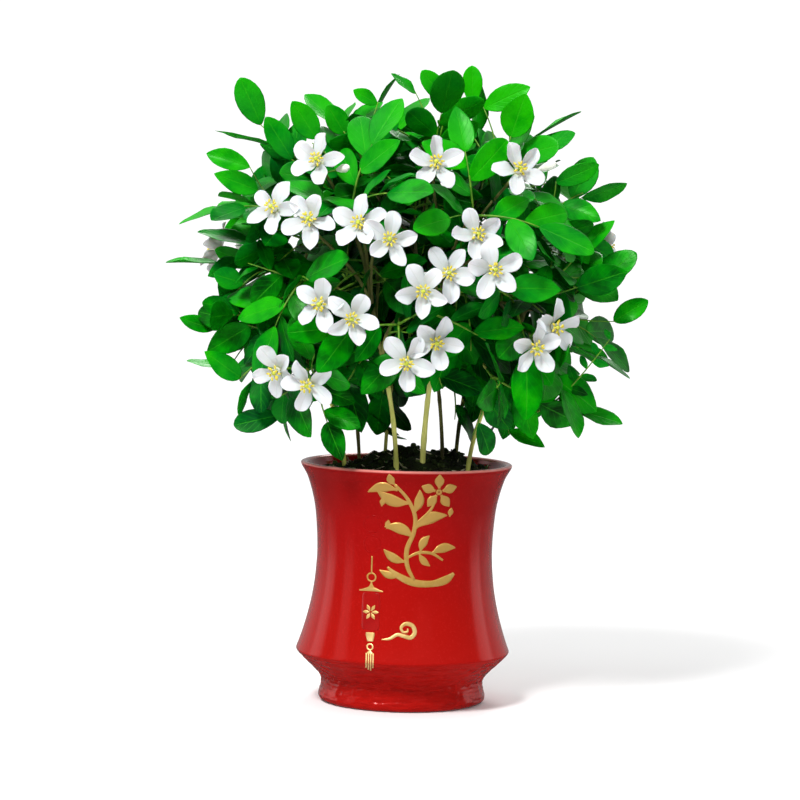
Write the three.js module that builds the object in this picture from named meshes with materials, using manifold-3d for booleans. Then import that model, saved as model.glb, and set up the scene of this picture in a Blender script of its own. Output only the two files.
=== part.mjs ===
// An orange jasmine bush in a waisted, red-glazed ceramic pot.
//
// Millimetres, +Z up. The origin is the centre of the pot's foot, on the surface that it stands on.
// The front of the pot faces -Y.
//
// The bush is several thin stems that rise from one bed of soil. Each stem is one woody piece with
// its own twigs. A twig ends in a leafy shoot, which is three feather-shaped leaves, or in a blossom.
// A leaflet grows only where it is clear of everything that stands there already.

import * as THREE from "three";
import { mergeVertices } from "three/addons/utils/BufferGeometryUtils.js";
import Module from "manifold-3d";

const wasm = await Module();
wasm.setup();

// ---------------------------------------------------------------- driving dimensions

const POT_HEIGHT = 173;
const RIM_RADIUS = 75;
const SHOULDER_RADIUS = 77;
const SHOULDER_HEIGHT = 38;
const WAIST_RADIUS = 63;
const WAIST_HEIGHT = 106;
const NECK_RADIUS = 58.5;
const NECK_HEIGHT = 17;
const FOOT_RADIUS = 60.5;
const FOOT_BEVEL = 5;
const WALL = 5;
const FLOOR_TOP = 11;
const POT_SEGMENTS = 32;
const SOIL_SEGMENTS = 24;

const SOIL_EDGE_HEIGHT = 160;
const SOIL_CROWN_HEIGHT = 171;
const GAP = 0.3; // between pieces that touch

const CROWN_CENTRE = new THREE.Vector3(0, 0, 305);
const CROWN_HALF = new THREE.Vector3(150, 128, 132);
const UP = new THREE.Vector3(0, 0, 1);

const TWIG_RADIUS = 1.1;
const RACHIS_RADIUS = 0.75;
const SHOOT_AXIS = 8;
const LEAF_THICKNESS = 1.1;
const STEM_BURIED = 14;
const STEM_STEPS = 6;

// Each stem: where it leaves the soil, where it ends in the crown, and its radius at the soil.
const STEMS = [
  { foot: [11, -24], top: [22, -44, 300], radius: 2.7 },
  { foot: [-7, -33], top: [-30, -50, 306], radius: 2.2 },
  { foot: [26, -4], top: [6, 14, 330], radius: 1.7 },
  { foot: [35, 16], top: [56, 48, 300], radius: 1.8 },
  { foot: [43, -18], top: [80, -20, 280], radius: 2.0 },
  { foot: [-44, -4], top: [-82, -14, 284], radius: 2.0 },
  { foot: [-34, 20], top: [-56, 46, 296], radius: 1.6 },
  { foot: [-16, 14], top: [-2, 66, 310], radius: 1.7 },
];

// Each blossom: the first flower's place, the second one's where there are two, and where a bud is.
const BLOSSOMS = [
  { at: [-66, -95, 387], bud: true },
  { at: [15, -112, 387], bud: true },
  { at: [72, -94, 384], bud: true },
  { at: [-70, -112, 347], second: [-95, -100, 354] },
  { at: [-15, -131, 335], second: [-36, -122, 345] },
  { at: [56, -126, 316], second: [44, -116, 339] },
  { at: [8, -136, 301], second: [25, -124, 313] },
  { at: [-39, -128, 281], second: [-61, -119, 290] },
  { at: [86, -103, 263], second: [99, -92, 277] },
  { at: [-69, -96, 234], second: [-91, -86, 242] },
  { at: [-2, -122, 252], second: [18, -119, 266] },
  { at: [139, 22, 330], bud: true },
  { at: [-140, 30, 322], bud: true },
  { at: [92, 94, 350], second: [106, 76, 344] },
  { at: [-62, 100, 380], bud: true },
  { at: [10, 132, 300], second: [-10, 126, 311] },
];

// Each shoot: the place its three leaves spread from, and how far the first leaf swings from
// straight outwards. The rest of the crown is filled by rings of shoots round the back.
const FRONT_SHOOTS = [
  { at: [-92, -14, 312], swing: 6 },
  { at: [-86, -26, 348], swing: 14 },
  { at: [-68, -20, 374], swing: 10 },
  { at: [-30, -26, 376], swing: 16 },
  { at: [14, -18, 384], swing: 8 },
  { at: [54, -24, 374], swing: 14 },
  { at: [88, -18, 346], swing: 12 },
  { at: [92, -22, 306], swing: 10 },
  { at: [86, -34, 258], swing: 14 },
  { at: [-84, -30, 262], swing: 14 },
  { at: [-42, -84, 356], swing: 50 },
  { at: [42, -82, 352], swing: 50 },
  { at: [-8, -92, 276], swing: 56 },
  { at: [-76, -66, 304], swing: 48 },
  { at: [72, -68, 290], swing: 48 },
  { at: [58, -64, 240], swing: 40 },
  { at: [-64, -60, 238], swing: 40 },
  { at: [-34, -34, 318], swing: 60 },
  { at: [32, -40, 306], swing: 60 },
  { at: [2, -30, 356], swing: 60 },
  { at: [0, -6, 262], swing: 60 },
];
const BACK_RINGS = [
  { count: 2, height: 374, radius: 46, from: 50, to: 130 },
  { count: 4, height: 328, radius: 76, from: 14, to: 164 },
  { count: 4, height: 262, radius: 74, from: 10, to: 170 },
];

const SIDE_SHOOTS = [
  { at: [-96, -6, 272], swing: 8 },
  { at: [98, 4, 282], swing: 8 },
];

// Single leaflets of the crown's outline: where each starts, where its tip is, and how wide it looks
// from the front. Each grows on its own thin stalk from a shoot close by.
const OUTER_LEAFLETS = [
  [[-110, -20, 413], [-125, -26, 446], 22],
  [[-86, -34, 388], [-105, -40, 418], 19],
  [[-117, -10, 383], [-149, -6, 393], 17],
  [[-110, -30, 366], [-141, -36, 378], 18],
  [[-138, -16, 313], [-176, -20, 315], 8],
  [[-111, -34, 329], [-151, -44, 338], 14],
  [[-110, -10, 312], [-142, -4, 322], 13],
  [[-119, -30, 299], [-139, -40, 306], 18],
  [[-142, -8, 265], [-166, -10, 274], 13],
  [[-121, -34, 280], [-147, -42, 287], 17],
  [[-129, -16, 237], [-159, -20, 244], 9],
  [[-120, -36, 232], [-145, -44, 251], 18],
  [[-90, -28, 206], [-124, -34, 199], 19],
  [[0, -20, 438], [-17, -24, 453], 9],
  [[24, -30, 431], [5, -36, 454], 16],
  [[42, -14, 431], [41, -14, 459], 16],
  [[48, -26, 429], [80, -34, 445], 20],
  [[68, -36, 408], [78, -42, 439], 26],
  [[81, -24, 395], [114, -28, 413], 17],
  [[101, -30, 377], [131, -36, 390], 14],
  [[121, -8, 366], [154, -10, 376], 9],
  [[119, -26, 328], [143, -30, 352], 15],
  [[125, -20, 300], [160, -26, 328], 22],
  [[147, -10, 278], [171, -12, 294], 17],
  [[118, -24, 214], [154, -28, 206], 15],
  [[72, -34, 198], [98, -40, 189], 13],
  [[-26, -26, 430], [-43, -30, 440], 12],
  [[-69, -30, 404], [-86, -36, 430], 20],
  [[-50, -24, 408], [-62, -30, 428], 18],
  [[-24, -40, 400], [-12, -46, 422], 14],
];

// Boxes that leaflets stay out of: the space over the rim, and the view of the bare stems.
const LEAFLESS = [
  { size: [420, 420, 60], middle: [0, 0, 148] },
  { size: [68, 130, 60], middle: [6, -80, 194] },
];

// ---------------------------------------------------------------- materials

const finish = (color, roughness, metalness = 0) =>
  new THREE.MeshStandardMaterial({ color, roughness, metalness });
const GLAZE = finish(0xb31413, 0.12);
const SOIL = finish(0x241a12, 0.95);
const BARK = finish(0x9c9a5c, 0.7);
const LEAF = finish(0x16861c, 0.4);
const PETAL = finish(0xf6f8f2, 0.5);

// ---------------------------------------------------------------- small helpers

const vec = (x, y, z) => new THREE.Vector3(x, y, z);
const radians = THREE.MathUtils.degToRad;

// The same number between 0 and 1 each time for the same three keys.
function vary(a, b, c) {
  const wave = Math.sin(a * 12.9898 + b * 78.233 + c * 37.719) * 43758.5453;
  return wave - Math.floor(wave);
}

// A closed geometry as a solid that can be joined and cut.
function solidOf(geometry) {
  geometry.deleteAttribute("normal");
  geometry.deleteAttribute("uv");
  const merged = mergeVertices(geometry, 1e-4);
  return new wasm.Manifold(
    new wasm.Mesh({
      numProp: 3,
      vertProperties: merged.attributes.position.array,
      triVerts: new Uint32Array(merged.index.array),
    }),
  );
}

function geometryOf(solid) {
  const mesh = solid.getMesh();
  return new THREE.BufferGeometry()
    .setAttribute("position", new THREE.BufferAttribute(mesh.vertProperties, 3))
    .setIndex(new THREE.BufferAttribute(mesh.triVerts, 1));
}

const join = (solids) => wasm.Manifold.union(solids);

// Moves each vertex of a geometry to where place(x, y, z) says.
function reshape(geometry, place) {
  const position = geometry.attributes.position;
  for (let i = 0; i < position.count; i++) {
    const p = place(position.getX(i), position.getY(i), position.getZ(i));
    position.setXYZ(i, p.x, p.y, p.z);
  }
  return geometry;
}

// A round rod that follows a curve and tapers from one radius to the other. On a curve that lies in
// one plane, across may say which way is square to that plane, and a flat of the rod then faces it.
function rod(curve, radius, endRadius, sides, steps, across) {
  const frames = curve.computeFrenetFrames(steps);
  const straight = new THREE.CylinderGeometry(1, 1, 1, sides, steps, false, Math.PI / sides);
  return solidOf(
    reshape(straight, (x, y, z) => {
      const step = Math.round((y + 0.5) * steps);
      const share = step / steps;
      const r = THREE.MathUtils.lerp(radius, endRadius, share);
      const normal = across ? across.clone().cross(frames.tangents[step]) : frames.normals[step];
      return curve
        .getPoint(share)
        .addScaledVector(across ?? frames.binormals[step], r * x)
        .addScaledVector(normal, r * z);
    }),
  );
}

// A blade, such as a leaflet or a petal, in its own frame: base, the way it points, and the way its
// upper face looks. It is a thin lens with a six-sided outline.
function blade({ base, along, face, length, width, thickness, droop, fold, waist }) {
  const across = face.clone().cross(along);
  const lens = new THREE.SphereGeometry(1, 6, 2);
  const middle = 0.5;
  return solidOf(
    reshape(lens, (x, y, z) => {
      const outline = Math.abs(y) < 0.5;
      const u = !outline ? middle : Math.abs(z) < 0.1 ? (x + 1) / 2 : x > 0 ? 0.7 : waist;
      const side = outline ? Math.sign(Math.round(z * 2)) : 0;
      const lift = outline ? Math.abs(side) * fold : y * thickness * 0.5;
      return base
        .clone()
        .addScaledVector(along, u * length)
        .addScaledVector(across, -side * width * 0.45)
        .addScaledVector(face, lift - droop * u * u);
    }),
  );
}

// ---------------------------------------------------------------- pot and soil

// The pot's outside from the shoulder up to the rim, and its inside, as curves of radius and height.
const waistCurve = (inset) =>
  new THREE.SplineCurve([
    new THREE.Vector2(SHOULDER_RADIUS - inset, SHOULDER_HEIGHT),
    new THREE.Vector2(SHOULDER_RADIUS - 7.5 - inset, SHOULDER_HEIGHT + 23),
    new THREE.Vector2(WAIST_RADIUS + 1.2 - inset, WAIST_HEIGHT - 19),
    new THREE.Vector2(WAIST_RADIUS - inset, WAIST_HEIGHT),
    new THREE.Vector2(WAIST_RADIUS + 1.6 - inset, WAIST_HEIGHT + 31),
    new THREE.Vector2(RIM_RADIUS - inset, POT_HEIGHT),
  ]);

function pot() {
  const outside = waistCurve(0).getPoints(9);
  const inside = waistCurve(WALL).getPoints(5).reverse();
  const rim = outside.pop();
  const lip = inside.shift();
  const middle = (rim.x + lip.x) / 2;
  const profile = [
    [0, 0],
    [FOOT_RADIUS - FOOT_BEVEL, 0],
    [FOOT_RADIUS, FOOT_BEVEL],
    [NECK_RADIUS, NECK_HEIGHT],
    [SHOULDER_RADIUS - 2, SHOULDER_HEIGHT - 3],
    ...outside.map((p) => [p.x, p.y]),
    [rim.x, rim.y - 1.4],
    [middle, rim.y],
    [lip.x, lip.y - 1.4],
    ...inside.map((p) => [p.x, p.y]),
    [NECK_RADIUS - WALL, NECK_HEIGHT + 3],
    [NECK_RADIUS - WALL - 2, FLOOR_TOP],
    [0, FLOOR_TOP],
  ].map(([r, z]) => new THREE.Vector2(r, z));
  return lathe(profile, POT_SEGMENTS);
}

// LatheGeometry turns about +Y, so the profile's height is laid along +Z.
function lathe(profile, segments) {
  return solidOf(new THREE.LatheGeometry(profile, segments).rotateX(Math.PI / 2));
}

// The height of the soil's top at a distance from the middle.
const soilTop = (r) =>
  SOIL_EDGE_HEIGHT + (SOIL_CROWN_HEIGHT - SOIL_EDGE_HEIGHT) * Math.cos((r / RIM_RADIUS) * 1.35);

function soil(stubs) {
  const wall = waistCurve(WALL + GAP * 2).getPoints(5);
  const side = wall.filter((p) => p.y < SOIL_EDGE_HEIGHT);
  const edge = side[side.length - 1].x + 0.6;
  const rings = [0.98, 0.66, 0.33, 0].map((share) => edge * share);
  const profile = [
    [0, FLOOR_TOP + GAP],
    [NECK_RADIUS - WALL - 2 - GAP * 2, FLOOR_TOP + GAP],
    [NECK_RADIUS - WALL - GAP * 2, NECK_HEIGHT + 3],
    ...side.map((p) => [p.x, p.y]),
    ...rings.map((r) => [r, soilTop(r)]),
  ].map(([r, z]) => new THREE.Vector2(r, z));
  return lathe(profile, SOIL_SEGMENTS).subtract(join(stubs));
}

// ---------------------------------------------------------------- stems and twigs

function stemCurve({ foot, top }) {
  const start = vec(foot[0], foot[1], soilTop(Math.hypot(...foot)) - STEM_BURIED);
  const end = vec(...top);
  const rise = end.z - start.z;
  return new THREE.CubicBezierCurve3(
    start,
    start.clone().add(vec(0, 0, rise * 0.45)),
    end.clone().add(vec((start.x - end.x) * 0.25, (start.y - end.y) * 0.25, -rise * 0.3)),
    end,
  );
}

// A twig's curve leaves the stem along the stem, and arrives along the outward direction. Its bow
// turns it round other twigs.
function twigCurve(stem, share, end, outward, bow) {
  const start = stem.getPoint(share);
  const reach = start.distanceTo(end);
  const sideways = vec(Math.cos(bow), Math.sin(bow), 0.2);
  const swing = bow === 0 ? 0 : reach * 0.22;
  return new THREE.CubicBezierCurve3(
    start,
    start
      .clone()
      .addScaledVector(stem.getTangent(share), reach * 0.4)
      .addScaledVector(sideways, swing),
    end.clone().addScaledVector(outward, -reach * 0.35),
    end,
  );
}

// ---------------------------------------------------------------- leaves

// Where a shoot's leaves spread from, and its own three directions.
function shootFrame(shoot) {
  const heart = vec(...shoot.at);
  const outward = heart.clone().sub(CROWN_CENTRE).divide(CROWN_HALF).normalize();
  const sideways = UP.clone().cross(outward).normalize();
  return { heart, outward, sideways, upward: outward.clone().cross(sideways) };
}

// One feather-shaped leaf of a shoot: its rachis curve and its leaflets, each with the ways that it
// may turn to find room.
function leafPlan(index, shoot, turn, nudge) {
  const { heart, outward, sideways, upward } = shootFrame(shoot);
  const spread = radians(turn === 0 ? shoot.swing : 58 + 22 * (vary(index, turn, 1) - 0.5));
  const around = radians(shoot.roll + 120 * turn + 36 * (vary(index, turn, 2) - 0.5) + nudge);
  const along = outward
    .clone()
    .multiplyScalar(Math.cos(spread))
    .addScaledVector(sideways, Math.cos(around) * Math.sin(spread))
    .addScaledVector(upward, Math.sin(around) * Math.sin(spread));
  const light = outward.clone().multiplyScalar(0.7).addScaledVector(UP, 0.45).add(vec(0, -0.25, 0));
  const face = light.addScaledVector(along, -light.dot(along)).normalize();
  face.applyAxisAngle(along, radians(50 * (vary(index, turn, 3) - 0.5)));
  const across = face.clone().cross(along);
  const length = 37 + 10 * vary(index, turn, 4);
  const curve = new THREE.QuadraticBezierCurve3(
    heart,
    heart.clone().addScaledVector(along, length * 0.55).addScaledVector(face, 4),
    heart.clone().addScaledVector(along, length).addScaledVector(face, -2 - 7 * vary(index, turn, 5)),
  );
  const middle = curve.getPoint(0.5);
  const leaflets = LEAFLETS.map(({ share, side, size }, n) => {
    const key = index * 3 + turn;
    const open = side === 0 ? 0 : radians(62 - 22 * share + 16 * (vary(key, n, 6) - 0.5));
    const tangent = curve.getTangent(share);
    const pointing = tangent
      .clone()
      .multiplyScalar(Math.cos(open))
      .addScaledVector(across, side * Math.sin(open))
      .normalize();
    const looks = face.clone().addScaledVector(pointing, -face.dot(pointing)).normalize();
    const long = size * (0.88 + 0.26 * vary(key, n, 7));
    const half = share < 0.5 ? [curve.v0, middle] : [middle, curve.v2];
    return {
      base: half[0].clone().lerp(half[1], (share * 2) % 1),
      along: pointing,
      face: looks,
      length: long,
      width: long * (0.56 + 0.1 * vary(key, n, 8)),
      droop: 1 + 5 * vary(key, n, 9),
      lean: radians(30 * (vary(key, n, 10) - 0.5)),
    };
  });
  return { curve, across, leaflets };
}

// Along a leaf's rachis: where each leaflet sits, on which side, and its length.
const LEAFLETS = [
  { share: 0.32, side: 1, size: 32 },
  { share: 0.54, side: -1, size: 35 },
  { share: 0.76, side: 1, size: 37 },
  { share: 0.99, side: 0, size: 40 },
];

// A leaflet that meets something turns about its own rib, or grows smaller, or doesn't grow.
const TRIES = [
  { turn: 0, size: 1 },
  { turn: 32, size: 1 },
  { turn: -32, size: 1 },
  { turn: 0, size: 0.76 },
  { turn: 48, size: 0.72 },
  { turn: -48, size: 0.72 },
];

function leaflet(plan, attempt, thickness) {
  const face = plan.face.clone().applyAxisAngle(plan.along, plan.lean + radians(attempt.turn));
  return blade({
    base: plan.base,
    along: plan.along,
    face,
    length: plan.length * attempt.size,
    width: plan.width * attempt.size,
    thickness,
    droop: plan.droop,
    fold: 1.2,
    waist: 0.3,
  });
}

// ---------------------------------------------------------------- blossoms

const PETALS = 5;
const PETAL_LENGTH = 20;
const THROAT_DEPTH = 4;
const FLOWER_STALK = 13;
const KNUCKLE_RADIUS = 1.3;

// A petal's outline: the distance from the throat, and the angle from the petal's own rib.
const PETAL_OUTLINE = [
  [3.2, -36],
  [PETAL_LENGTH * 0.62, -22],
  [PETAL_LENGTH, 0],
  [PETAL_LENGTH * 0.62, 22],
];

// A flower faces out of the crown, and a little more to the front. The second of a pair turns less to
// the front.
const FRONTWARD = 0.9;
const SIDEWARD = 0.35;

function flowerFace(centre, frontward = FRONTWARD) {
  const outward = centre.clone().sub(CROWN_CENTRE).divide(CROWN_HALF).normalize();
  return outward.add(vec(0, centre.y < 0 ? -frontward : 0, 0.1)).normalize();
}

// One flower: five petals that open from one throat, on a stalk. The outline has a notch between
// two petals, and two shoulders and a tip on each.
function flower(index, centre, foot, frontward) {
  const face = flowerFace(centre, frontward);
  const sideways = UP.clone().cross(face).normalize();
  const upward = face.clone().cross(sideways);
  const corolla = new THREE.SphereGeometry(1, PETALS * 4, 2);
  reshape(corolla, (x, y, z) => {
    if (Math.abs(y) > 0.5) return centre.clone().addScaledVector(face, y > 0 ? 0 : -THROAT_DEPTH);
    const point = Math.round((Math.atan2(-z, x) / (2 * Math.PI)) * PETALS * 4 + PETALS * 4);
    const petal = Math.floor(point / 4) % PETALS;
    const [radius, aside] = PETAL_OUTLINE[point % 4];
    const turn = radius > 5 ? 12 * (vary(index, petal, 11) - 0.5) : 0;
    const around = radians(72 * petal + aside + turn + 20 * index);
    const lift = radians(12 + 14 * vary(index, petal, 12));
    return centre
      .clone()
      .addScaledVector(sideways, radius * Math.cos(lift) * Math.cos(around))
      .addScaledVector(upward, radius * Math.cos(lift) * Math.sin(around))
      .addScaledVector(face, radius * Math.sin(lift) * (radius > 18 ? 0.8 : 1));
  });
  const back = centre.clone().addScaledVector(face, -THROAT_DEPTH * 0.6);
  const stalk = new THREE.QuadraticBezierCurve3(
    foot,
    back.clone().addScaledVector(face, -FLOWER_STALK * 0.5),
    back,
  );
  return [solidOf(corolla), rod(stalk, 0.8, 0.7, 3, 2)];
}

// A closed bud: a plump spindle that thins into its own stalk, down to the blossom's foot.
function bud(index, centre, foot) {
  const face = flowerFace(centre);
  const around = radians(360 * vary(index, 5, 13));
  const aside = vec(Math.cos(around), 0, Math.sin(around));
  const middle = centre.clone().addScaledVector(face, 3).addScaledVector(aside, 19);
  const axis = middle.clone().sub(foot).normalize();
  const turn = new THREE.Quaternion().setFromUnitVectors(vec(0, 1, 0), axis);
  const spindle = new THREE.SphereGeometry(1, 4, 3);
  reshape(spindle, (x, y, z) => {
    if (y < -0.9) return foot.clone();
    const [radius, height] = y > 0.9 ? [0, 8] : y > 0 ? [3.2, 0] : [1.2, -8];
    return vec(x, 0, z).setLength(radius).setY(height).applyQuaternion(turn).add(middle);
  });
  return [solidOf(spindle)];
}

// Where a blossom's stalks meet its twig, in a small round knuckle.
function blossomFoot({ at, second }) {
  const centre = vec(...at);
  const face = flowerFace(centre);
  const foot = centre.clone().addScaledVector(face, -FLOWER_STALK - 7);
  return second ? foot.lerp(vec(...second), 0.3).addScaledVector(face, -6) : foot;
}

function blossom(index, plan) {
  const foot = blossomFoot(plan);
  const solids = flower(index, vec(...plan.at), foot, FRONTWARD);
  if (plan.second) solids.push(...flower(index + 0.5, vec(...plan.second), foot, SIDEWARD));
  if (plan.bud) solids.push(...bud(index, vec(...plan.at), foot));
  const knuckle = new THREE.OctahedronGeometry(KNUCKLE_RADIUS).translate(foot.x, foot.y, foot.z);
  solids.push(solidOf(knuckle));
  return solids;
}

// The space in front of a flower, which leaflets leave open.
function viewOf(centre, frontward) {
  const face = flowerFace(centre, frontward);
  const start = centre.clone().addScaledVector(face, -2);
  const end = centre.clone().addScaledVector(face, 75);
  return rod(new THREE.LineCurve3(start, end), PETAL_LENGTH * 0.72, PETAL_LENGTH * 0.6, 8, 1);
}

// ---------------------------------------------------------------- growing the bush

// Everything that stands in the crown, each with its box, so that a newcomer can be tested.
const standing = [];

function boxOf(solid) {
  const { min, max } = solid.boundingBox();
  return new THREE.Box3(vec(...min), vec(...max));
}

// Whether a solid runs into the pieces of the other families, or into those of its own.
function meets(solid, family, own = false) {
  const box = boxOf(solid);
  return standing.some(
    (other) =>
      (other.family === family) === own &&
      other.box.intersectsBox(box) &&
      other.solid.intersect(solid).volume() > 0,
  );
}

const stand = (solid, family) => standing.push({ solid, family, box: boxOf(solid) });

// The shoots of one ring at the back of the crown.
function ringShoots({ count, height, radius, from, to }, ring) {
  const wide = CROWN_HALF.x / CROWN_HALF.y;
  return Array.from({ length: count }, (_, n) => {
    const angle = radians(from + ((to - from) * n) / (count - 1));
    const x = Math.cos(angle) * radius * wide;
    const y = Math.sin(angle) * radius;
    return { at: [x, y, height + 12 * (vary(ring, n, 14) - 0.5)], swing: 30 + 20 * vary(ring, n, 15) };
  });
}

const shoots = [...FRONT_SHOOTS, ...BACK_RINGS.flatMap(ringShoots), ...SIDE_SHOOTS].map(
  (shoot, n) => ({ ...shoot, roll: 360 * vary(n, 1, 16) }),
);

// What each twig leads to: the foot of a blossom or of a shoot.
const ends = [
  ...BLOSSOMS.map((plan) => {
    const foot = blossomFoot(plan);
    const outward = vec(...plan.at).sub(foot).normalize();
    return { point: foot.addScaledVector(outward, -KNUCKLE_RADIUS - GAP), outward };
  }),
  ...shoots.map((shoot) => {
    const { heart, outward } = shootFrame(shoot);
    return { point: heart.addScaledVector(outward, -SHOOT_AXIS - GAP), outward };
  }),
];

// Each twig's end goes to the stem whose top is nearest.
const families = STEMS.map(() => []);
for (const end of ends) {
  const distances = STEMS.map((stem) => vec(...stem.top).distanceTo(end.point));
  families[distances.indexOf(Math.min(...distances))].push(end);
}

const BOWS = [0, 60, 120, 180, 240, 300].map(radians);

function growStem(stem, family, index) {
  const curve = stemCurve(stem);
  const solids = [rod(curve, stem.radius, TWIG_RADIUS * 1.1, 5, STEM_STEPS)];
  stand(solids[0], `stem ${index}`);
  family.sort((a, b) => a.point.z - b.point.z);
  family.forEach(({ point, outward }, n) => {
    const share = 0.5 + (0.47 * (n + 1)) / family.length;
    const twigs = BOWS.map((bow) =>
      rod(twigCurve(curve, share, point, outward, bow), TWIG_RADIUS, TWIG_RADIUS * 0.8, 3, 2),
    );
    const twig = twigs.find((candidate) => !meets(candidate, `stem ${index}`));
    if (!twig) return;
    stand(twig, `stem ${index}`);
    solids.push(twig);
  });
  return join(solids);
}

// How far a leaf may swing round its shoot to find room.
const NUDGES = [0, 24, -24, 48, -48];

const rachisOf = ({ curve, across }) => rod(curve, RACHIS_RADIUS, RACHIS_RADIUS, 4, 2, across);

// The short green axis that a shoot's leaves spread from.
function shootAxis(shoot) {
  const { heart, outward } = shootFrame(shoot);
  const foot = heart.clone().addScaledVector(outward, -SHOOT_AXIS);
  return rod(new THREE.LineCurve3(foot, heart), RACHIS_RADIUS, RACHIS_RADIUS * 1.2, 3, 1);
}

// One leaflet of the outline on its stalk from a shoot. It turns about its rib by as much as makes it
// look as wide as it should from the front.
function outerPlan([base, tip, seen], shoot, n) {
  const { heart, outward } = shootFrame(shoot);
  const start = vec(...base);
  const foot = heart.clone().addScaledVector(outward, -SHOOT_AXIS / 4);
  const reach = foot.distanceTo(start);
  const curve = new THREE.QuadraticBezierCurve3(
    foot,
    heart.clone().addScaledVector(outward, reach * 0.4),
    start,
  );
  const along = vec(...tip).sub(start);
  const length = along.length();
  const width = Math.max(seen, length * 0.5);
  along.normalize();
  const front = vec(0, -1, 0.3);
  return {
    curve,
    base: curve.getPoint(0.5).lerp(start, 0.95),
    along,
    face: front.addScaledVector(along, -front.dot(along)).normalize(),
    length,
    width,
    droop: 2,
    lean: Math.acos(seen / width) * (vary(n, 1, 17) > 0.5 ? 1 : -1),
  };
}

// Whether one of a leaflet's ways to grow meets nothing, and which.
function clearWay(plan, family) {
  return TRIES.find((way) => {
    const wide = leaflet(plan, way, LEAF_THICKNESS * 2);
    const free = wide.trimByPlane(plan.along.toArray(), plan.along.dot(plan.base) + 3);
    return !meets(wide, family) && !meets(free, family, true);
  });
}

// Grows the outline's leaflets, each from the nearest shoot that has a clear way to it.
function growOutline() {
  const grown = shoots.map(() => []);
  OUTER_LEAFLETS.forEach((outer, n) => {
    const reach = (index) => vec(...shoots[index].at).distanceTo(vec(...outer[0]));
    const near = [...shoots.keys()].sort((a, b) => reach(a) - reach(b)).slice(0, 4);
    for (const index of near) {
      const family = `shoot ${index}`;
      const plan = outerPlan(outer, shoots[index], n);
      const stalk = rod(plan.curve, RACHIS_RADIUS, RACHIS_RADIUS, 3, 2);
      const way = clearWay(plan, family);
      if (meets(stalk, family) || !way) continue;
      const blade = leaflet(plan, way, LEAF_THICKNESS);
      stand(stalk, family);
      stand(blade, family);
      grown[index].push(stalk, blade);
      return;
    }
  });
  return grown;
}

function growShoot(shoot, index, outline) {
  const family = `shoot ${index}`;
  const solids = [shootAxis(shoot), ...outline];
  for (let turn = 0; turn < 3; turn++) {
    const found = NUDGES.map((nudge) => leafPlan(index, shoot, turn, nudge)).find(
      (plan) => !meets(rachisOf(plan), family),
    );
    if (!found) continue;
    const rachis = rachisOf(found);
    stand(rachis, family);
    solids.push(rachis);
    for (const plan of found.leaflets) {
      const way = clearWay(plan, family);
      if (!way) continue;
      const grown = leaflet(plan, way, LEAF_THICKNESS);
      stand(grown, family);
      solids.push(grown);
    }
  }
  return join(solids);
}

// ---------------------------------------------------------------- the whole plant

const plant = new THREE.Group();

function add(name, solid, material) {
  const mesh = new THREE.Mesh(geometryOf(solid), material);
  mesh.name = name;
  plant.add(mesh);
  return solid;
}

stand(add("pot", pot(), GLAZE), "pot");
const stubs = STEMS.map((stem) =>
  rod(stemCurve(stem), stem.radius + GAP * 1.3, TWIG_RADIUS, 5, STEM_STEPS),
);
add("soil_bed", soil(stubs), SOIL);

const blossomSolids = BLOSSOMS.map((plan, n) => blossom(n, plan));
blossomSolids.forEach((solids, n) => solids.forEach((solid) => stand(solid, `blossom ${n}`)));
shoots.forEach((shoot, n) => stand(shootAxis(shoot), `shoot ${n}`));
STEMS.forEach((stem, n) => add(`stem_${n + 1}`, growStem(stem, families[n], n), BARK));
blossomSolids.forEach((solids, n) => add(`blossom_${n + 1}`, join(solids), PETAL));
BLOSSOMS.forEach(({ at, second }) => {
  stand(viewOf(vec(...at), FRONTWARD), "view");
  if (second) stand(viewOf(vec(...second), SIDEWARD), "view");
});
LEAFLESS.forEach(({ size, middle }) => {
  stand(solidOf(new THREE.BoxGeometry(...size).translate(...middle)), "view");
});
const outline = growOutline();
shoots.forEach((shoot, n) => add(`leafy_shoot_${n + 1}`, growShoot(shoot, n, outline[n]), LEAF));

export default plant;
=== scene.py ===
# %% [markdown]
# # A potted orange jasmine
#
# This lesson dresses a small flowering bush. The plain solids of its pot, soil, stems, shoots and
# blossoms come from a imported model, and they stay the frame: each fine piece made here stands
# exactly where its plain solid stands. We work in millimetres and turn them into metres only when
# a mesh is made, because a gardener thinks of a 40 mm leaflet and not of a 0.04 m one.

# %% Load the frame
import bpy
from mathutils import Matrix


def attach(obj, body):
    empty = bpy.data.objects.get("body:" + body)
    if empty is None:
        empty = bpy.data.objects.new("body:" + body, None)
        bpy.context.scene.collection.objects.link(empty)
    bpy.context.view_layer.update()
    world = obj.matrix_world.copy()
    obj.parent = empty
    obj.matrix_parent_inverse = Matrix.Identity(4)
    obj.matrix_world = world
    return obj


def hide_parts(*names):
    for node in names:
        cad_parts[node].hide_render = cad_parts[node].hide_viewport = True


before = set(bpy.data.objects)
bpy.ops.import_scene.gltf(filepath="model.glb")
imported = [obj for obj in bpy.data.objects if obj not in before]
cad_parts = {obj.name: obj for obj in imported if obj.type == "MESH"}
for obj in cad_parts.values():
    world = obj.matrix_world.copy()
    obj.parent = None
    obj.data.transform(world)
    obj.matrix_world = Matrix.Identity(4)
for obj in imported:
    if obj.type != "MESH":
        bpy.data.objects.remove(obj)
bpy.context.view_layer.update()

import math

import bpy
import numpy as np
from mathutils import Quaternion, Vector, noise
from mathutils.kdtree import KDTree

MM = 0.001

# %% [markdown]
# ## The camera
#
# A long lens from more than two metres away keeps the pot's sides upright. The lens looks down by
# a few degrees, so that the rim shows as a thin ellipse and the soil is just visible behind it. The
# camera is turned a little about its own axis, so the whole plant leans slightly to the right.

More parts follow.
